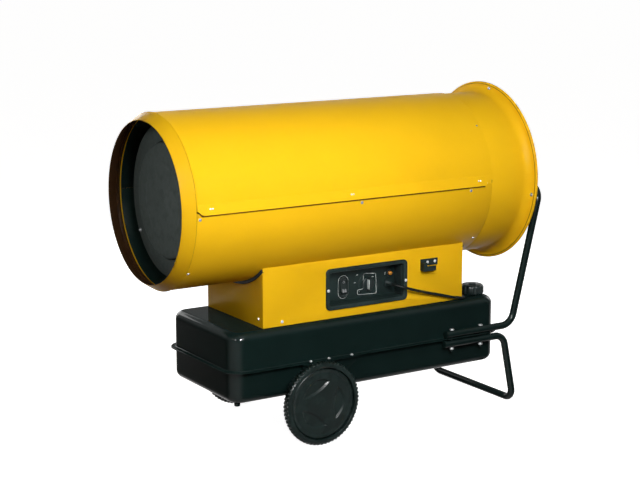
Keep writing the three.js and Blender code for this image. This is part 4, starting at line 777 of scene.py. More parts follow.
# %% Outlet ring
SPIGOT = 248.2  # radius of the spigots that go into the shells
outlet_profile = [(-36, 229.5), (-36, 232), (-33, 234.5), (-3, 253.5), (-2.4, 253.5), (-2.2, 251.2),
                  (-0.3, 251), (-0.3, SPIGOT), (14, SPIGOT), (14, SPIGOT - SHEET), (-1.8, SPIGOT - SHEET),
                  (-1.8, 252), (-32, 232)]
spun("outlet_ring_spun", outlet_profile, drum_yellow, 0.9, sides=192, stands_for=["outlet_ring"])

# %% Intake drum
flare = [(1118 + 28 * math.sin(math.radians(t)), SPIGOT + 23.8 * (1 - math.cos(math.radians(t))))
         for t in range(0, 91, 10)]
inner_flare = [(x + 1.2, r - SHEET) for x, r in reversed(flare)]
intake_profile = [(986, SPIGOT), *flare, (1148, 277), (1150, 280), (1154, 280), (1154, 274), (1149.5, 272.5),
                  *inner_flare, (986, SPIGOT - SHEET)]
spun("intake_drum_spun", intake_profile, drum_yellow, 0.7, 2, 192, stands_for=["intake_drum"])

# %% [markdown]
# ## Guard
# The fan's guard is welded from round wire: rings on four spokes about a small plate. It could be
# turned ring by ring. As a tree, one circle is repeated at growing sizes and one wire round the
# axis, and a change of the number of rings is a change of one input.

# %% Guard
rings_of = Recipe("wire rings", Inner="Float", Outer="Float", Rings="Int", Wire="Float", Centre="Vector")
dots = rings_of.node("GeometryNodeMeshLine", {"Count": rings_of["Rings"], "Offset": (0, 0, 0)})
share = rings_of.node("GeometryNodeInputIndex") / (rings_of["Rings"] - 1)
size = rings_of["Inner"] + (rings_of["Outer"] - rings_of["Inner"]) * share
circle = rings_of.node("GeometryNodeCurvePrimitiveCircle", {"Resolution": 128, "Radius": 1.0})
sizes = rings_of.node("ShaderNodeCombineXYZ", {"X": size, "Y": size, "Z": 1.0})
placed = rings_of.node("GeometryNodeInstanceOnPoints", {
    "Points": dots, "Instance": circle, "Scale": sizes, "Rotation": euler(rings_of, (0, 1, 0), math.pi / 2)})
wires = rings_of.node("GeometryNodeRealizeInstances", {"Geometry": placed})
evened = rings_of.node("GeometryNodeSetCurveRadius", {"Curve": wires, "Radius": 1.0})
section = rings_of.node("GeometryNodeCurvePrimitiveCircle", {"Resolution": 10, "Radius": rings_of["Wire"]})
skin = rings_of.node("GeometryNodeCurveToMesh", {"Curve": evened, "Profile Curve": section})
rings_of.end(rings_of.node("GeometryNodeTransform", {"Geometry": skin, "Translation": rings_of["Centre"]}))
put(rings_of.make("guard_rings", zinc, Inner=70.0, Outer=244.0, Rings=8, Wire=2.0,
                  Centre=(1106.5, 0, AXIS)), zinc)
spoke = tube("spoke", [(1108.2, 0, 30), (1108.2, 0, 244)], 2.2, 10)
around("guard_spokes", spoke, 4, zinc, start=45)
plate_profile = [(1104.5, 0), (1104.5, 44), (1106.5, 45), (1108.5, 45), (1108.5, 0)]
spun("guard_plate", plate_profile, zinc, 0.6, stands_for=["intake_guard"])

# %% [markdown]
# ## Inside the outlet
# Behind the ring, a disc with a rolled edge stands on three bent feet before the chamber's front
# ring, and turns the flame back. The chamber is a can on two banded brackets. All of them are
# turned about the drum's axis, and the feet and legs are seeds round it.

# %% Chamber and disc
chamber_profile = [(62, 153), (62, 205), (622, 205), (622, 52.3), (620, 52.3), (620, 203), (64, 203),
                   (64, 153)]
spun("chamber_can", chamber_profile, chamber_steel, 0.9, 3, 160, stands_for=["combustion_chamber"])
collar_profile = [(40, 168.5), (40, 222), (41.6, 222), (41.6, 206.6), (78, 206.6), (78, 205.2), (41.6, 205.2),
                  (41.6, 168.5)]
spun("chamber_collar", collar_profile, chamber_steel, 0.4, 2, 160)

disc_profile = [(27, 0), (27, 96), (26, 102), (26, 108), (27, 114), (27, 158), (28.5, 163), (31.5, 165),
                (37, 165), (37, 163.5), (32.5, 163.5), (29.6, 161.8), (28.5, 157), (28.5, 0)]
spun("deflector_plate", disc_profile, chamber_steel, 0.5, 2, 160, stands_for=["deflector_disc"])
foot = softened(block("foot", (32.5, 61.6), (-9, 9), (162, 163.4)), 0.4)
around("deflector_feet", foot, 3, chamber_steel, start=-30)

# %% Chamber brackets
for which, x in (("front", 122), ("rear", 532)):
    band_profile = [(x, 205.4), (x, 207.2), (x + 22, 207.2), (x + 22, 205.4)]
    spun(which + "_chamber_band", band_profile, chamber_steel, 0.5, 2, 128,
         stands_for=[which + "_chamber_bracket"])
    leg = softened(block("leg", (x + 2, x + 20), (-1.5, 1.5), (206.6, 246.6)), 0.4)
    around(which + "_chamber_legs", leg, 3, chamber_steel, start=84.4)

# %% [markdown]
# ## Motor and fan
# The motor hangs on four arms behind the burner and carries a fan with six twisted blades. A blade
# is a loft through thin curved sections whose pitch falls towards the tip, as on a real fan, and
# one blade is enough: the recipe turns it round the shaft.

# %% Motor
motor_profile = [(850, 8.3), (850, 30), (862, 64), (872, 70.5), (993, 70.5), (1003, 64), (1015, 30),
                 (1015, 8.3)]
spun("motor_body", motor_profile, grey_housing, 4, stands_for=["fan_motor"])
fin = softened(block("fin", (874, 991), (-1.1, 1.1), (69, 72)), 0.5)
around("motor_fins", fin, 36, grey_housing)
put(softened(block("motor_terminal_box", (900, 965), (-30, 30), (620, 646)), 2.5, 3), grey_housing)
band_profile = [(878, 72.3), (878, 75.2), (896, 75.2), (896, 72.3)]
spun("motor_band", band_profile, zinc, 0.7, stands_for=["motor_bracket"])
arm = softened(block("arm", (879, 895), (-1.5, 1.5), (74.5, 246.6)), 0.5)
around("motor_arms", arm, 4, zinc, start=-39.4)

# %% Fan
spun("fan_shaft", [(808, 0), (808, 8), (1099, 8), (1099, 0)], zinc, 0.8, sides=32, body="fan",
     stands_for=["motor_shaft"], slot="chamber_steel")
hub_profile = [(1047, 8.3), (1047, 55), (1085, 55), (1091, 50), (1093, 41), (1093, 24), (1089, 20),
               (1089, 8.3)]
spun("fan_hub", hub_profile, grey_housing, 1.5, body="fan", stands_for=["fan_impeller"])


def blade_section(k):
    """A bowed section at 0 for the root to 1 for the tip, wrapped round the shaft at its radius."""
    radius, pitch, half = 51 + 185 * k, math.radians(48 - 26 * k), 34 + 20 * k
    face = []
    for side, span in ((1, range(-8, 9)), (-1, range(8, -9, -1))):
        for i in span:
            s = i / 8
            lift = 0.09 * half * (1 - s * s) + side * 1.1 * math.sqrt(max(1 - s * s * 0.9, 0))
            across = half * s * math.cos(pitch) - lift * math.sin(pitch)
            turn = across / radius
            face.append((1070 + half * s * math.sin(pitch) + lift * math.cos(pitch),
                         radius * math.sin(turn), radius * math.cos(turn)))
    return face


blade = loft("blade", [blade_section(k / 12) for k in range(13)])
around("fan_blades", blade, 6, grey_housing, body="fan")

# %% [markdown]
# ## Box under the drum
# The box is folded from sheet: a floor with two end walls, and a panel on each side. Rubber
# channels close the gap between its end walls and the drum. The sheets are flat, so they are
# traced from the CAD frame and given the small radius of a press brake's fold.

# %% Folded sheets and seals
SEAL_TURN = 39.4  # how far a seal reaches from the drum's bottom to each side, in degrees
for node in ("box_frame", "control_side_panel", "far_side_panel"):
    put(traced(node, 0.6), yellow, stands_for=[node])
for node, x in (("front_edge_seal", 251.75), ("rear_edge_seal", 958.25)):
    channel = soft([(x - 4.5, 250.8), (x - 4.5, 261), (x + 4.5, 261), (x + 4.5, 250.8)], 2.2)
    seal = turned(node + "_channel", channel, sides=72, start=180 - SEAL_TURN, sweep=2 * SEAL_TURN)
    put(seal, seal_rubber, stands_for=[node])

# %% [markdown]
# ## Control tray
# The tray is moulded in one piece: a bezel on the panel, a sloping rim, and a tub that goes in
# through the panel. A loft through soft rectangles, from the bezel's back round to the floor and
# back along the tub's outside, gives all of it as one closed skin with a soft edge everywhere.

# %% Tray
TRAY_X, TRAY_Z = (462, 750), (373, 496.96)
TRAY_FLOOR = -123


def tray_ring(inset, y, corner):
    ring = rounded_box(TRAY_X[0] + inset, TRAY_X[1] - inset, TRAY_Z[0] + inset, TRAY_Z[1] - inset, corner)
    return [(x, y, z) for x, z in ring]


tray_rings = [(15.4, TRAY_FLOOR, 3), (14.4, TRAY_FLOOR - 0.8, 4), (14.1, TRAY_FLOOR - 2, 4), (13.2, -163, 5),
              (12.8, -166, 5), (11.8, -167.6, 6), (6, -169.4, 9), (3.4, -170, 11), (1.4, -169.8, 12.6),
              (0.4, -169, 13.6), (0, -168, 14), (0, -165.4, 14), (11.6, -165.4, 4), (11.6, -121.5, 3),
              (12.4, -120.6, 3), (13.5, -120.6, 3)]
tray = loft("tray_moulding", [tray_ring(*ring) for ring in tray_rings])
holed(tray, block("switch_room", (537, 563), (-130, -118), (402.3, 449.7)))
put(tray, panel_plastic, stands_for=["control_tray"], angle=30)
rib = softened(block("rib", (732.4, 736.6), (-161, -158.4), (392, 478)), 0.6)
put(in_row.make("tray_side_ribs", panel_plastic, Seed=rib, Count=6, Step=(0, 6.4, 0)), panel_plastic)

# %% [markdown]
# ## Switch, selector and reset button
# The rocker switch sits in an oval bezel, the selector is a knob with a finger grip, and the reset
# button is amber. They move, so each is its own piece on its own body. The rocker's wedge is drawn
# straight and turned to its rest position, with its lower half out.


# %% Oval switch
def oval(half_wide, half_high, place, steps=16):
    turns = [math.pi * k / steps for k in range(steps + 1)]
    lift = half_high - half_wide
    top = [(place[0] + half_wide * math.cos(t), place[1] + lift + half_wide * math.sin(t)) for t in turns]
    low = [(place[0] - half_wide * math.cos(t), place[1] - lift - half_wide * math.sin(t)) for t in turns]
    return top + low


SWITCH = (550, 426)
oval_rings = [(16, TRAY_FLOOR - 0.3), (16, -125.6), (15.6, -126.6), (14.6, -127), (13.6, -126.7),
              (13, -125.6), (12.6, -125.4)]
oval_skin = [[(x, y, z) for x, z in oval(half, half + 17, SWITCH)] for half, y in oval_rings]
bezel = loft("switch_bezel_moulding", oval_skin)
holed(bezel, block("rocker_room", (538.8, 561.2), (-140, -110), (403.8, 448.2)))
walls = [rounded_box(SWITCH[0] - w, SWITCH[0] + w, SWITCH[1] - h, SWITCH[1] + h, 1, 2)
         for w, h in ((12.7, 23.7), (11.2, 22.2))]
box_rings = [(0, -99), (0, -124), (1, -124), (1, -101)]
housing = loft("switch_housing", [[(x, y, z) for x, z in walls[k]] for k, y in box_rings])
put(joined("switch_oval", bezel, housing), knob_plastic, stands_for=["switch_bezel"])

# %% Rocker
PIVOT = Vector((550, -115, 426))
rest = Matrix.Translation(PIVOT) @ Matrix.Rotation(math.radians(-10), 4, "X") @ Matrix.Translation(-PIVOT)


def at_rest(name, *pieces):
    """Pieces of the rocker as one mesh, turned to the rest position."""
    whole = joined(name, *pieces)
    whole.data.transform(rest)
    return whole


rocker_profile = [(-129, 406.5), (-126.5, 420), (-126.5, 432), (-129, 445.5), (-119, 445.5), (-112, 432),
                  (-112, 420), (-119, 406.5)]
rocker = softened(drawn("rocker", soft(rocker_profile, 1.2, 3), 540, 560, "x"), 0.8, 3)
pins = tube("pins", [(539, *PIVOT.yz), (561, *PIVOT.yz)], 2, 16)
put(at_rest("switch_rocker_moulding", rocker, pins), knob_plastic, "switch_rocker", ["switch_rocker"])
stroke = [(549.4, 409.5), (550.6, 409.5), (550.6, 416.5), (549.4, 416.5)]
ring = [(-127.5, 2.6), (-127.5, 3.6), (-128.65, 3.6), (-128.65, 2.6)]
# The two grey patches on the rocker's lower face, either side of the on stroke, are a painted highlight where
# that face catches the light. The stroke and the ring are printed.
lens = [(-129.3, 408.5), (-127.3, 418.5), (-126.7, 418.5), (-128.7, 408.5)]
marks = [drawn("on", stroke, -128.55, -127.6, "y"), turned("off", ring, (550, 0, 439), "y", 32),
         *[drawn("lens", lens, x, x + 4.5, "x") for x in (543.5, 552)]]
put(at_rest("rocker_marks", *marks), grey_housing, "switch_rocker", slot="panel_plastic")

# %% Selector knob
SELECTOR = (637, 426)


def facing_out(name, profile, place, sides=64):
    """Turned about an axis that points out of the tray. Distances count outwards from the floor."""
    return turned(name, [(TRAY_FLOOR - d, r) for d, r in profile], (place[0], 0, place[1]), "y", sides)


dial_profile = [(0.2, 33.5), (1.2, 34.5), (1.2, 36.5), (0.2, 37.5), (-0.4, 37.5), (-0.4, 33.5)]
put(facing_out("dial_ring", soft(dial_profile, 0.4), (640, 425.5)), panel_plastic)
skirt = facing_out("skirt", soft([(0.8, 0), (0.8, 21), (4.4, 20.2), (5.8, 18.6), (5.8, 0)], 0.9), SELECTOR)
grip_outline = soft([(-5, -18.6), (5, -18.6), (4.2, 18.6), (-4.2, 18.6)], 3.5, 5)
grip = [[(SELECTOR[0] + x * s, y, SELECTOR[1] + z * (1 - (1 - s) * 0.3)) for x, z in grip_outline]
        for y, s in ((-127.5, 1.12), (-131, 1.0), (-138.6, 0.94), (-140, 0.86), (-140.8, 0.7))]
stem = facing_out("stem", [(-12, 0), (-12, 3.7), (1, 3.7), (1, 0)], SELECTOR, 24)
knob = joined("selector_moulding", skirt, loft("grip", grip), stem)
put(knob, knob_plastic, "selector_knob", ["selector_knob"])
# A thin strip of white ink down the grip's left flank is a painted highlight, where the grip's face catches
# the light.
grip_highlight_strip = softened(block("selector_insert", (631.3, 633), (-139.8, -128.4), (412, 441)), 0.3)
put(grip_highlight_strip, ink, "selector_knob")

# %% Reset button and gland
RESET, GLAND = (714, 451), (707, 421)
collar_profile = [(4, 6.3), (3.9, 8.2), (3, 10.4), (1.2, 11), (0.3, 11), (0.3, 7.7), (-12, 7.7), (-12, 6.3)]
put(facing_out("reset_collar", collar_profile, RESET), knob_plastic, stands_for=["reset_bezel"])
cap = [(-8, 0), (-8, 6), (8, 6), (9.6, 5.4), (10.8, 4), (11.3, 2), (11.5, 0)]
put(facing_out("reset_cap", cap, RESET), amber, "reset_button", ["reset_button"])
relief = [(-8, 0), (-8, 6.7), (0.3, 6.7), (0.3, 11.8), (6, 11.8), (6.3, 8.2)]
for k in range(5):  # the grooves that let the relief bend
    d, r = 8 + 3.6 * k, 8 - 0.4 * k
    relief += [(d, r), (d + 0.5, r - 0.9), (d + 1.6, r - 1), (d + 2.1, r - 0.2)]
gland = facing_out("cord_gland_moulding", soft([*relief, (28.2, 5.6), (28.3, 4.4), (28.3, 0)], 0.3, 2), GLAND)
put(gland, panel_plastic, stands_for=["cord_gland"])


# %% Printed marks
def printed(name, line, width, closed=False, rise=0.12):
    """A line of ink on the tray's floor, as a thin ribbon with mitred corners."""
    spots = [Vector(spot) for spot in line]
    sides = []
    for i, spot in enumerate(spots):
        before = (spot - spots[i - 1]).normalized() if closed or i else None
        after = (spots[(i + 1) % len(spots)] - spot).normalized() if closed or i < len(spots) - 1 else None
        way = ((before or after) + (after or before)).normalized()
        reach = width / 2 / max(way.dot(after or before), 0.5)
        sides.append((spot + Vector((-way.y, way.x)) * reach, spot - Vector((-way.y, way.x)) * reach))
    y0, y1 = TRAY_FLOOR - rise, TRAY_FLOOR + 0.1
    rings = [[(a.x, y0, a.y), (b.x, y0, b.y), (b.x, y1, b.y), (a.x, y1, a.y)] for a, b in sides]
    return loft(name, rings, closed=closed)


border = soft([(600, 397), (600, 411), (621, 413), (621, 459), (665, 455), (668, 393)], 5)
ticks = [[(596, 456), (602, 458)], [(588, 434), (594, 434)], [(606, 404.6), (611, 407)],
         [(645, 404), (645, 408.6)], [(699, 446), (700.5, 455)], [(652, 446), (658, 445)]]
# The selector's outline is raised, because it runs over the dial ring.
inked = [printed("border", border, 1.3, closed=True, rise=1.4)]
inked += [printed("tick", line, 1.6) for line in ticks]
put(joined("tray_print", *inked), ink)
put(printed("switch_outline_print", oval(17.6, 34.6, SWITCH), 1.0, closed=True), ink)

# %% [markdown]
# ## Cable bracket
# A black moulded bracket is screwed to the panel. Its hook holds a loop of the cord. Its shape is
# all flat faces, so it is traced from the frame and its edges are rounded as a mould leaves them.

# %% Cable bracket
put(traced("cable_bracket", 3.2, 4), panel_plastic, stands_for=["cable_bracket"])

# %% [markdown]
# ## Fuel tank
# Two deep pressings are welded at a flange. Pressed steel has no sharp corner: the upright edges,
# the top's edge and the flange's root are all rounded. A loft through soft rectangles gives the
# outside and, a sheet's thickness further in, the inside of each half as one closed skin.

# %% Tank
TANK_X, TANK_SIDE = (137, 1077), 192
TANK_TOP, TANK_SEAM, TANK_FLOOR = 348, 238, 143
TANK_CORNER, TANK_EDGE = 45, 24  # radii of the upright edges, and of the edges of top and floor
TANK_SHEET = 2
FLANGE = 15  # width of the weld flange


def tank_ring(inset, z):
    corner = TANK_CORNER - min(inset, TANK_EDGE)
    ring = rounded_box(TANK_X[0] + inset, TANK_X[1] - inset, inset - TANK_SIDE, TANK_SIDE - inset, corner, 10)
    return [(x, y, z) for x, y in ring]


def tank_half(name, way, end):
    """One pressing. way is 1 for the upper half and -1 for the lower; end is its flat's height."""
    turns = [math.radians(9 * k) for k in range(11)]
    edge = [(TANK_EDGE - TANK_EDGE * math.sin(t), TANK_EDGE - TANK_EDGE * math.cos(t)) for t in turns]
    rings = [(inset, end - way * drop) for inset, drop in [(26, 0), *edge, (0, 26)]]
    root, seam = TANK_SEAM + way * TANK_SHEET, TANK_SEAM + way * 0.15
    rings += [(0, root + way * 4), (-0.4, root + way * 1.6), (-1.6, root + way * 0.4), (-3, root),
              (0.8 - FLANGE, root), (0.1 - FLANGE, root - way * 0.4), (-FLANGE, root - way), (-FLANGE, seam),
              (TANK_SHEET, seam)]
    inner = TANK_EDGE - TANK_SHEET
    rings += [(inset * inner / TANK_EDGE + TANK_SHEET, end - way * (drop * inner / TANK_EDGE + TANK_SHEET))
              for inset, drop in reversed(edge)]
    return loft(name, [tank_ring(*ring) for ring in rings + [(28, end - way * TANK_SHEET)]])


NECK = (1032, -122)
mouth = turned("mouth", [(330, 0), (330, 22), (360, 22), (360, 0)], (*NECK, 0), "z", 64)
tank_top = holed(tank_half("tank_upper_pressing", 1, TANK_TOP), mouth)
put(tank_top, black, stands_for=["tank_upper"], angle=25)
put(tank_half("tank_lower_pressing", -1, TANK_FLOOR), black, stands_for=["tank_lower"], angle=25)

# %% [markdown]
# ## Filler neck and cap
# The neck is turned, and the cap is a moulding with eight finger scallops. A scallop is a round
# bite out of the rim, so the cap's outline is worked out as the nearer of two circles at each
# angle, and the cap is a loft through that outline at its heights.

# %% Neck, seal and drain plug
neck_profile = [(0.3, 22), (0.3, 32), (1.8, 32), (2.6, 30.5), (2.6, 27), (3.4, 26), (5, 25.2), (6, 26),
                (7.5, 26), (8.5, 25.2), (9.5, 26), (11, 26), (12, 25.4), (13.6, 25.4), (14, 24.8), (14, 22.3),
                (13.6, 22)]
neck = turned("filler_neck_turned", [(TANK_TOP + d, r) for d, r in neck_profile], (*NECK, 0), "z", 80)
put(neck, black, stands_for=["filler_neck"])
spun("cap_seal_ring", [(362.3, 22), (362.3, 26), (365, 26), (365, 22)], seal_rubber, 0.8, 4, 64, (*NECK, 0),
     "z", body="cap_seal", stands_for=["cap_seal"])
plug_profile = [(133, 0), (133, 7.4), (134, 8.4), (139, 9), (142.7, 9), (142.7, 5), (151, 5), (151, 0)]
spun("drain_plug_turned", plug_profile, black, 0.6, 4, 48, (167, -160, 0), "z", stands_for=["drain_plug"])


# %% Cap
CAP_RADIUS, CAP_TOP = 36, 378
SCALLOP, SCALLOP_AT = 7, 39.5  # radius of a scallop, and its middle's distance from the cap's axis


def cap_ring(radius, z, bite=0):
    """A ring about the neck. bite is the radius of the eight scallops, or 0 for none."""
    ring = []
    for i in range(192):
        turn = 2 * math.pi * i / 192
        off = turn % (math.pi / 4) - math.pi / 8  # from the nearest scallop's middle
        side = SCALLOP_AT * math.sin(off)
        reach = radius
        if abs(side) < bite:
            reach = min(radius, SCALLOP_AT * math.cos(off) - math.sqrt(bite * bite - side * side))
        ring.append((NECK[0] + reach * math.cos(turn), NECK[1] + reach * math.sin(turn), z))
    return ring


dome = [(3, 381), (9.5, 381), (11.5, 380.6), (12.6, 379.6), (13.4, 378.4), (15, CAP_TOP), (26, CAP_TOP)]
skirt = [(6.5, 0.2), (5, 0.7), (3.4, 1.8), (2, 3.4), (0.8, 5), (0.2, 6.6), (0, 8.4), (0, 25.6), (0.5, 26.6),
         (1.4, 27)]
hollow = [(27.7, 351), (27.5, 351.4), (27.5, 365.3), (3, 365.3)]
cap_rings = [*dome, *[(CAP_RADIUS - inset, CAP_TOP - drop, SCALLOP) for inset, drop in skirt], *hollow]
cap = loft("fuel_cap_moulding", [cap_ring(*ring) for ring in cap_rings])
put(cap, knob_plastic, "fuel_cap", ["fuel_cap"])

# %% [markdown]
# ## Wheels
# Each wheel is a plastic rim and web with a lugged tread and a smooth dished cover, which has three
# lens-shaped pockets for its mould's ejectors. The rim is turned, the lugs are one seed repeated
# round the axle, and the cover is a fine turned sheet whose points are pushed in at the pockets.

# %% Wheel cover
AXLE = (399, 125)  # station and height
WHEEL_Y = 233.6
POCKETS = (-125, 115, -5)  # middles of the pockets, in degrees
POCKET_AT, POCKET_HALF, POCKET_BOW = 57, 52, 20  # middle's radius, and half of the length and width
POCKET_DEEP = 5


def pocket_depth(x, z):
    """How deep the nearest lens-shaped pocket is at a place on the cover, from 0 to 1."""
    deepest = 0
    for degrees in POCKETS:
        turn = math.radians(degrees)
        out = x * math.cos(turn) + z * math.sin(turn) - POCKET_AT
        along = -x * math.sin(turn) + z * math.cos(turn)
        bow = POCKET_BOW * (1 - (along / POCKET_HALF) ** 2)
        inside = (bow - abs(out + along * along / 260)) / 7 if abs(along) < POCKET_HALF else -1
        inside = min(max(inside, 0), 1)
        deepest = max(deepest, inside * inside * (3 - 2 * inside))
    return deepest


def cover_height(r):
    """Outwards from the wheel's middle: a low dome, a groove and a raised rim."""
    if r > 100:
        return 17.0 - 2.2 * ((r - 100) / 4) ** 2
    if r > 96:
        return 17.0 - 1.6 * (1 - (r - 96) / 4) ** 2
    if r > 88:
        return 15.4 - 1.0 * math.sin((96 - r) / 8 * math.pi)
    return 15.4 + 0.9 * (1 - r / 88)


def wheel_cover(name, side):
    radii = [0.4, 8, 16, 24] + [28 + 1.6 * k for k in range(38)]
    radii += [90, 92, 94, 96, 97.5, 99, 100.5, 102, 103.2, 104]
    rings = []
    for k in range(144):
        turn = 2 * math.pi * k / 144
        x, z = math.cos(turn), math.sin(turn)
        heights = {r: cover_height(r) - POCKET_DEEP * pocket_depth(r * x, r * z) for r in [*radii, 60]}
        front = [(r, heights[r]) for r in radii]
        back = [(r, heights[r] - 2.4) for r in (90, 60, 28)]
        ends = [(r, min(12.4, heights[r] - 1.6)) for r in (104, 0.4)]
        section = [*front, ends[0], *back, ends[1]]
        rings.append([(AXLE[0] + r * x, side * (WHEEL_Y + out), AXLE[1] + r * z) for r, out in section])
    return loft(name, rings, closed=True)


print("cover's height", cover_height(0), "to", cover_height(100))

# %% Wheels with their tread
rim_profile = [(-20, 10.3), (-20, 24), (-5, 26), (-5, 100), (-21, 101), (-21.4, 104), (-16, 111), (-4, 118),
               (8, 121.4), (16, 121.2), (20.5, 118), (22, 113), (22, 107), (11, 105), (11, 99), (2, 99),
               (2, 10.3)]
LUG_LINE = [(-19.5, 108), (-14, 114.4), (-8, 118.6), (-2, 121.8), (0, 122.6), (7, 124.6), (14.5, 124.9),
            (20.6, 120.6)]


def tread_lug(side, lean, line):
    """One lug that follows the tyre's round section along a line of (outwards, height) pairs."""
    rings = []
    for out, high in line:
        corners = ((-2.7, high - 5.5), (2.7, high - 5.5), (1.9, high), (-1.9, high))
        rings.append([(lean + x, side * out, r) for x, r in corners])
    return softened(loft("lug", rings), 0.5, 1)


for body, side in (("near_wheel", -1), ("far_wheel", 1)):
    middle = (AXLE[0], side * WHEEL_Y, AXLE[1])
    profile = [(side * out, r) for out, r in soft(rim_profile, 1.2, 3)]
    put(turned(body + "_rim", profile, middle, "y", 128), wheel_plastic, body, [body])
    lugs = [tread_lug(side, lean, line) for lean, line in ((-3.1, LUG_LINE[:4]), (3.1, LUG_LINE[4:]))]
    around(body + "_lugs", joined("lugs", *lugs), 62, wheel_plastic, 0, middle, (0, 1, 0), body)
    rib = softened(block("web_rib", (-1.6, 1.6), (4, 19.5) if side < 0 else (-19.5, -4), (25, 104)), 0.5)
    around(body + "_ribs", rib, 10, wheel_plastic, 0, middle, (0, 1, 0), body)
    put(wheel_cover(body + "_disc", side), wheel_plastic, body, [body + "_cover"], angle=50)

# %% Axle and its brackets
axle_profile = [(-237.4, 0), (-237.4, 8.6), (-236, 10), (236, 10), (237.4, 8.6), (237.4, 0)]
spun("axle_bar", axle_profile, zinc, 0.5, 4, 48, (AXLE[0], 0, AXLE[1]), "y", stands_for=["axle"])
for which in ("near", "far"):
    for node in (which + "_axle_bracket", which + "_frame_plate"):
        put(traced(node, 0.6), black, stands_for=[node])

# %% [markdown]
# ## Handle and stand
# Both are steel tube, bent three or four times on the same former, so each is a path with arcs at
# its corners and a round section along it. The stand's bar is pressed flat where it rests.

# %% Handle and stand
TUBE, TUBE_Y = 11, 208  # the tubes' radius, and their distance from the middle
HANDLE = [(867, TUBE_Y, 254.6), (1120, TUBE_Y, 254.6), (1224.5, TUBE_Y, 680)]
STAND = [(861, TUBE_Y, 224.7), (1090, TUBE_Y, 224.7), (1134.8, TUBE_Y, 10.2)]


def bent_tube(name, corners, bend):
    """A tube along the far side's corners and, mirrored, along the near side's."""
    line = [(x, -y, z) for x, y, z in corners] + corners[::-1]
    return tube(name, soft(line, bend, 14, closed=False), TUBE, 40)


put(bent_tube("handle_bent_tube", HANDLE, 46), black, stands_for=["handle_tube"])
stand = bent_tube("stand_bent_tube", STAND, 38)
for vertex in stand.data.vertices:
    vertex.co.z = max(vertex.co.z, 0)
put(stand, black, stands_for=["stand_tube"], angle=50)

# %% [markdown]
# ## Cord and plug
# The cord is one curve with a round section, as in the real heater, from the gland to its plug. It
# stands for the three CAD pieces that it is divided into for packing.

# %% Cord and plug
cord = in_scene("supply_cord", bpy.data.curves.new("supply_cord", "CURVE"))
cord.data.dimensions = "3D"
spline = cord.data.splines.new("POLY")
spline.points.add(len(route) - 1)
for point, spot in zip(spline.points, route):
    point.co = (*spot, 1)
cord.data.bevel_depth, cord.data.bevel_resolution = CORD_RADIUS / 1000, 6
cord.data.use_fill_caps = True
cord.data.materials.append(cord_rubber.material)
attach(cord, "root")
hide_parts("cord_run", "cord_coil", "cord_tail")

plug_shape = [(0, 0), (0, 5)]
for k in range(5):
    d, r = 1.5 + 3.6 * k, 5.6 + 0.7 * k
    plug_shape += [(d, r), (d + 1.6, r + 0.2), (d + 2.1, r - 0.7), (d + 3.0, r - 0.7)]
plug_shape += [(20, 9), (22, 13), (25, 15.2), (34, 15.6), (44, 15.2), (52, 16.4), (58, 18), (65, 18),
               (66, 17), (66, 0)]
plug_profile = [(PLUG[1] + d, r) for d, r in soft(plug_shape, 0.8, 2)]
plug_body = turned("plug_body", plug_profile, (PLUG[0], 0, PLUG[2]), "y", 56)
put(plug_body, cord_rubber, stands_for=["plug"])
pins = [tube("pin", [(PLUG[0] + x, y, PLUG[2]) for y in (166.5, 183.5, 186)], [2.4, 2.4, 1.5], 20)
        for x in (-9.5, 9.5)]
plug_pins = put(joined("plug_pins", *pins), zinc)

# %% [markdown]
# ## Screws, rivets, clips and bolts
# Small fasteners tell the eye how large the heater is. Each kind is modelled once, as a seed that
# points up, and the recipe sets it on points that carry the way out of the surface, because the
# drum's screws point away from its axis and the panels' ones straight out.


# %% Seeds of the fasteners
def seed_turned(name, profile, sides=24):
    return turned(name, profile, (0, 0, 0), "z", sides)


def screw(radius, height):
    """A round head with a cross slot, on a washer."""
    pan = seed_turned("pan", [(-height, 0), (-height, radius), (height * 0.2, radius),
                              (height * 0.75, radius * 0.8), (height, radius * 0.4), (height, 0)])
    long, thin, deep = (-radius * 0.6, radius * 0.6), (-0.35, 0.35), (height * 0.45, height * 2)
    return holed(pan, block("cross", long, thin, deep), block("cross", thin, long, deep))


def hexagon(radius, height):
    """A hexagon nut, on a washer."""
    nut = [(0.4, 0), (0.4, radius), (height * 0.8, radius), (height, radius * 0.86), (height, 0)]
    return softened(seed_turned("nut", nut, 6), 0.25)


def with_washer(head, radius, height):
    washer = soft([(-0.5, 0), (-0.5, radius * 1.5), (0.5, radius * 1.5), (0.6, 0)], 0.2, 2)
    return joined("seed", head(radius, height), seed_turned("washer", washer))


def fastened(name, seed, spots, finish):
    """Seeds at (place, way out) pairs."""
    piece = on_points.make(name, finish, [place for place, _ in spots], Seed=seed,
                           Marks={"out": [way for _, way in spots]})
    return put(piece, finish)


def on_drum(x, degrees, radius):
    y, z = rim(radius, degrees)
    return (x, y, z), (0, y, z - AXIS)


print("seeds can be fastened")

# %% Screws, rivets and nuts
BOTH = (-1, 1)  # the near and the far side
shell_spots = ((9, 93.2), (530, 93.2), (921, 93.2), (7, 134), (985, 134))
drum_screws = [on_drum(x, a * side, 251) for x, a in shell_spots for side in BOTH]
drum_screws += [on_drum(988, a, 250.8) for a in (0, -47.6, 47.6)]
fastened("drum_screws", with_washer(screw, 3.2, 2.0), drum_screws, bolt_steel)
flange_holes = [(-44, 261), (44, -261), (-261, -44), (261, 44)]
flange_screws = [((1144.4, y, AXIS + z), (-1, 0, 0)) for y, z in flange_holes]
fastened("flange_screws", with_washer(screw, 4.2, 2.6), flange_screws, bolt_steel)
flange_nuts = [((1147.2, y, AXIS + z), (1, 0, 0)) for y, z in flange_holes]
fastened("flange_nuts", with_washer(hexagon, 4.4, 3.2), flange_nuts, bolt_steel)
box_screws = [((314, side * 165.3, 361), (0, side, 0)) for side in BOTH]
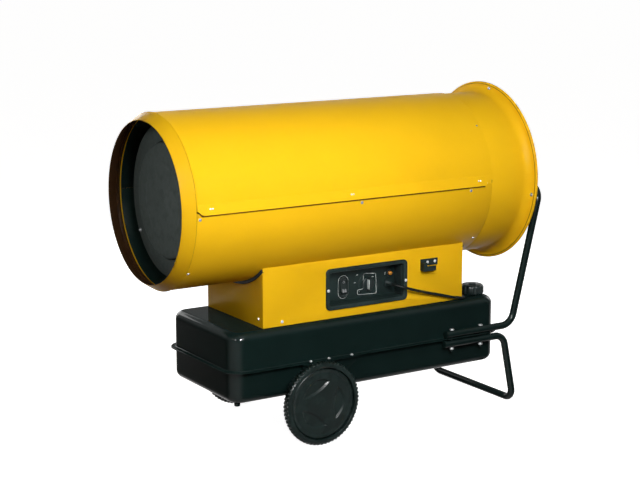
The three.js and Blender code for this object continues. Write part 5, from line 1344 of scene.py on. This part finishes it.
box_screws += [((905, 165.3, 361), (0, 1, 0)), ((250.7, -140, 372), (-1, 0, 0))]
box_screws += [((959.5, side * 140, 372), (1, 0, 0)) for side in BOTH]
fastened("box_screws", with_washer(screw, 3.0, 1.8), box_screws, zinc)
tray_screws = [((x, y, z), (0, -1, 0)) for x, y, z in
               ((468.5, -170.1, 433), (743.5, -170.1, 433), (823, -170.6, 479.5), (850, -170.6, 480))]
fastened("tray_screws", with_washer(screw, 3.0, 1.8), tray_screws, zinc)
rivets = [on_drum(x + dx, 87 * side, 254.2) for x in (43, 496, 950) for dx in (-3.6, 3.6) for side in BOTH]
rivet_profile = soft([(-0.8, 0), (-0.8, 2.1), (0.8, 2.1), (1.3, 1.2), (1.3, 0)], 0.4)
fastened("strip_rivets", seed_turned("rivet", rivet_profile, 20), rivets, zinc)
chamber_nuts = [((39.8, *rim(213, degrees)), (-1, 0, 0)) for degrees in (2, 122, 242)]
fastened("chamber_nuts", with_washer(hexagon, 4.5, 4.5), chamber_nuts, bolt_steel)

# %% Frame bolts and flange bolts
UNDER, OVER = 213.2, 266.1  # heights of the frame bolts' nuts
shank = seed_turned("shank", [(UNDER - 14, 0), (UNDER - 14, 4), (UNDER, 4), (OVER, 4), (OVER, 0)])
nuts = []
for low, high in ((UNDER - 7, UNDER - 0.2), (OVER + 0.2, OVER + 5)):
    profile = [(low, 0), (low, 6.4), (low + 1, 7.4), (high - 1, 7.4), (high, 6.4), (high, 0)]
    nuts.append(softened(seed_turned("nut", profile, 6), 0.3))
bolt = joined("bolt", *nuts)
bolt_spots = [((x, side * TUBE_Y, 0), (0, 0, 1)) for x in (890, 1000) for side in BOTH]
fastened("frame_bolt_shanks", shank, bolt_spots, black)
bolts = fastened("frame_bolts", bolt, bolt_spots, bolt_steel)
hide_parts(*[f"{a}_{b}_frame_bolt" for a in ("near", "far") for b in ("front", "rear")])
flange_spots = [((x, side * 200.5, 240.4), (0, 0, 1)) for x in (389, 451, 530) for side in BOTH]
fastened("flange_bolts", with_washer(hexagon, 3.8, 3.4), flange_spots, bolt_steel)

# %% [markdown]
# ## What stays as the frame has it
# The burner's head, nozzle and electrodes, the pump and the parts on the box's floor are seldom
# seen, and their CAD shapes are right. They keep their meshes and only get finishes.

# %% Finishes for the frame's own pieces
kept = {"burner_head": chamber_steel, "fuel_nozzle": zinc, "ignition_electrodes": zinc, "fuel_pump": zinc,
        "fuel_filter": zinc, "control_unit": grey_housing, "ignition_transformer": knob_plastic,
        "fuel_line": copper}
for node, finish in kept.items():
    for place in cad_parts[node].material_slots:
        place.material = finish.material
    print(node, finish.material.name)

# %% [markdown]
# ## Floor, light and world
# The photograph was taken on white, with one large soft lamp on the near side and weaker ones in
# front, above and behind. Area lamps give that softness. Two small lamps that only give highlights
# put the bright spots on the black edges. The white behind the heater comes from the world and
# floor materials only for rays from the camera, mirrors and glass, so it doesn't light the
# underside, and the floor still darkens in the heater's shadow.


# %% World and floor
class Backdrop(Graph):
    """A tree whose last node lights the object with one shader and shows another in its place."""

    def __init__(self, tree):
        self.tree = tree
        tree.nodes.clear()

    def end(self, kind, lighting, shown):
        path = self.tree.nodes.new("ShaderNodeLightPath")
        seen = 0.0
        for ray in ("Is Camera Ray", "Is Glossy Ray", "Is Transmission Ray"):
            seen = Field(self, path.outputs[ray]).maths("MAXIMUM", seen)
        mixed = self.node("ShaderNodeMixShader", {0: seen, 1: lighting, 2: shown})
        self.tree.links.new(mixed.socket, self.tree.nodes.new(kind).inputs["Surface"])


world = bpy.data.worlds.new("studio")
bpy.context.scene.world = world
world.use_nodes = True
sky = Backdrop(world.node_tree)
sky.end("ShaderNodeOutputWorld",
        sky.node("ShaderNodeBackground", {"Color": (1, 0.9, 0.8, 1), "Strength": 0.03}),
        sky.node("ShaderNodeBackground", {"Color": (1, 1, 1, 1), "Strength": 1.0}))

corners = [(-30, -30, 0), (30, -30, 0), (30, 30, 0), (-30, 30, 0)]
floor = in_scene("floor", mesh_of("floor", corners, [(0, 1, 2, 3)]))
floor_paint = bpy.data.materials.new("floor_paint")
floor_paint.use_nodes = True
ground = Backdrop(floor_paint.node_tree)
pale = ground.node("ShaderNodeBsdfDiffuse", {"Color": (0.85, 0.85, 0.85, 1)})
glow = ground.node("ShaderNodeEmission", {"Color": (1, 1, 1, 1), "Strength": 0.965})
ground.end("ShaderNodeOutputMaterial",
           ground.node("ShaderNodeBsdfDiffuse", {"Color": (0.06, 0.03, 0.014, 1)}),
           ground.node("ShaderNodeAddShader", {0: pale, 1: glow}))
floor.data.materials.append(floor_paint)
print("floor and world")


# %% Lamps
def lamp(name, place, target, size, watts, colour=(1, 1, 1)):
    light = in_scene(name, bpy.data.lights.new(name, "AREA"))
    light.location = place
    light.rotation_euler = facing(Vector(target) - Vector(place))
    light.data.shape, (light.data.size, light.data.size_y) = "RECTANGLE", size
    light.data.energy, light.data.color = watts, colour
    light.visible_camera = False
    return light


lamp("key", (-0.52, -1.75, 1.4), (-0.62, -0.1, 0.6), (0.9, 0.7), 37)
lamp("front", (-3.0, -0.7, 1.9), (-0.6, 0, 0.7), (0.8, 0.8), 6.8, (1, 0.85, 0.72))
lamp("top", (-0.1, -1.3, 3.1), (-0.1, 0, 0.6), (2.0, 1.2), 11)
lamp("back", (-0.3, 2.9, 1.2), (0, 0, 0.5), (1.8, 1.2), 40)
lamp("rear", (2.9, 0.7, 1.2), (0.5, 0, 0.5), (1.2, 1.2), 22)
for which, place in (("right", (-1.07, -3.4, 2.3)), ("left", (-3.29, -1.89, 2.3))):
    glint = lamp(which + "_glint", place, (-0.5, -0.2, 0.3), (0.26, 0.26), 470)
    glint.visible_diffuse = False
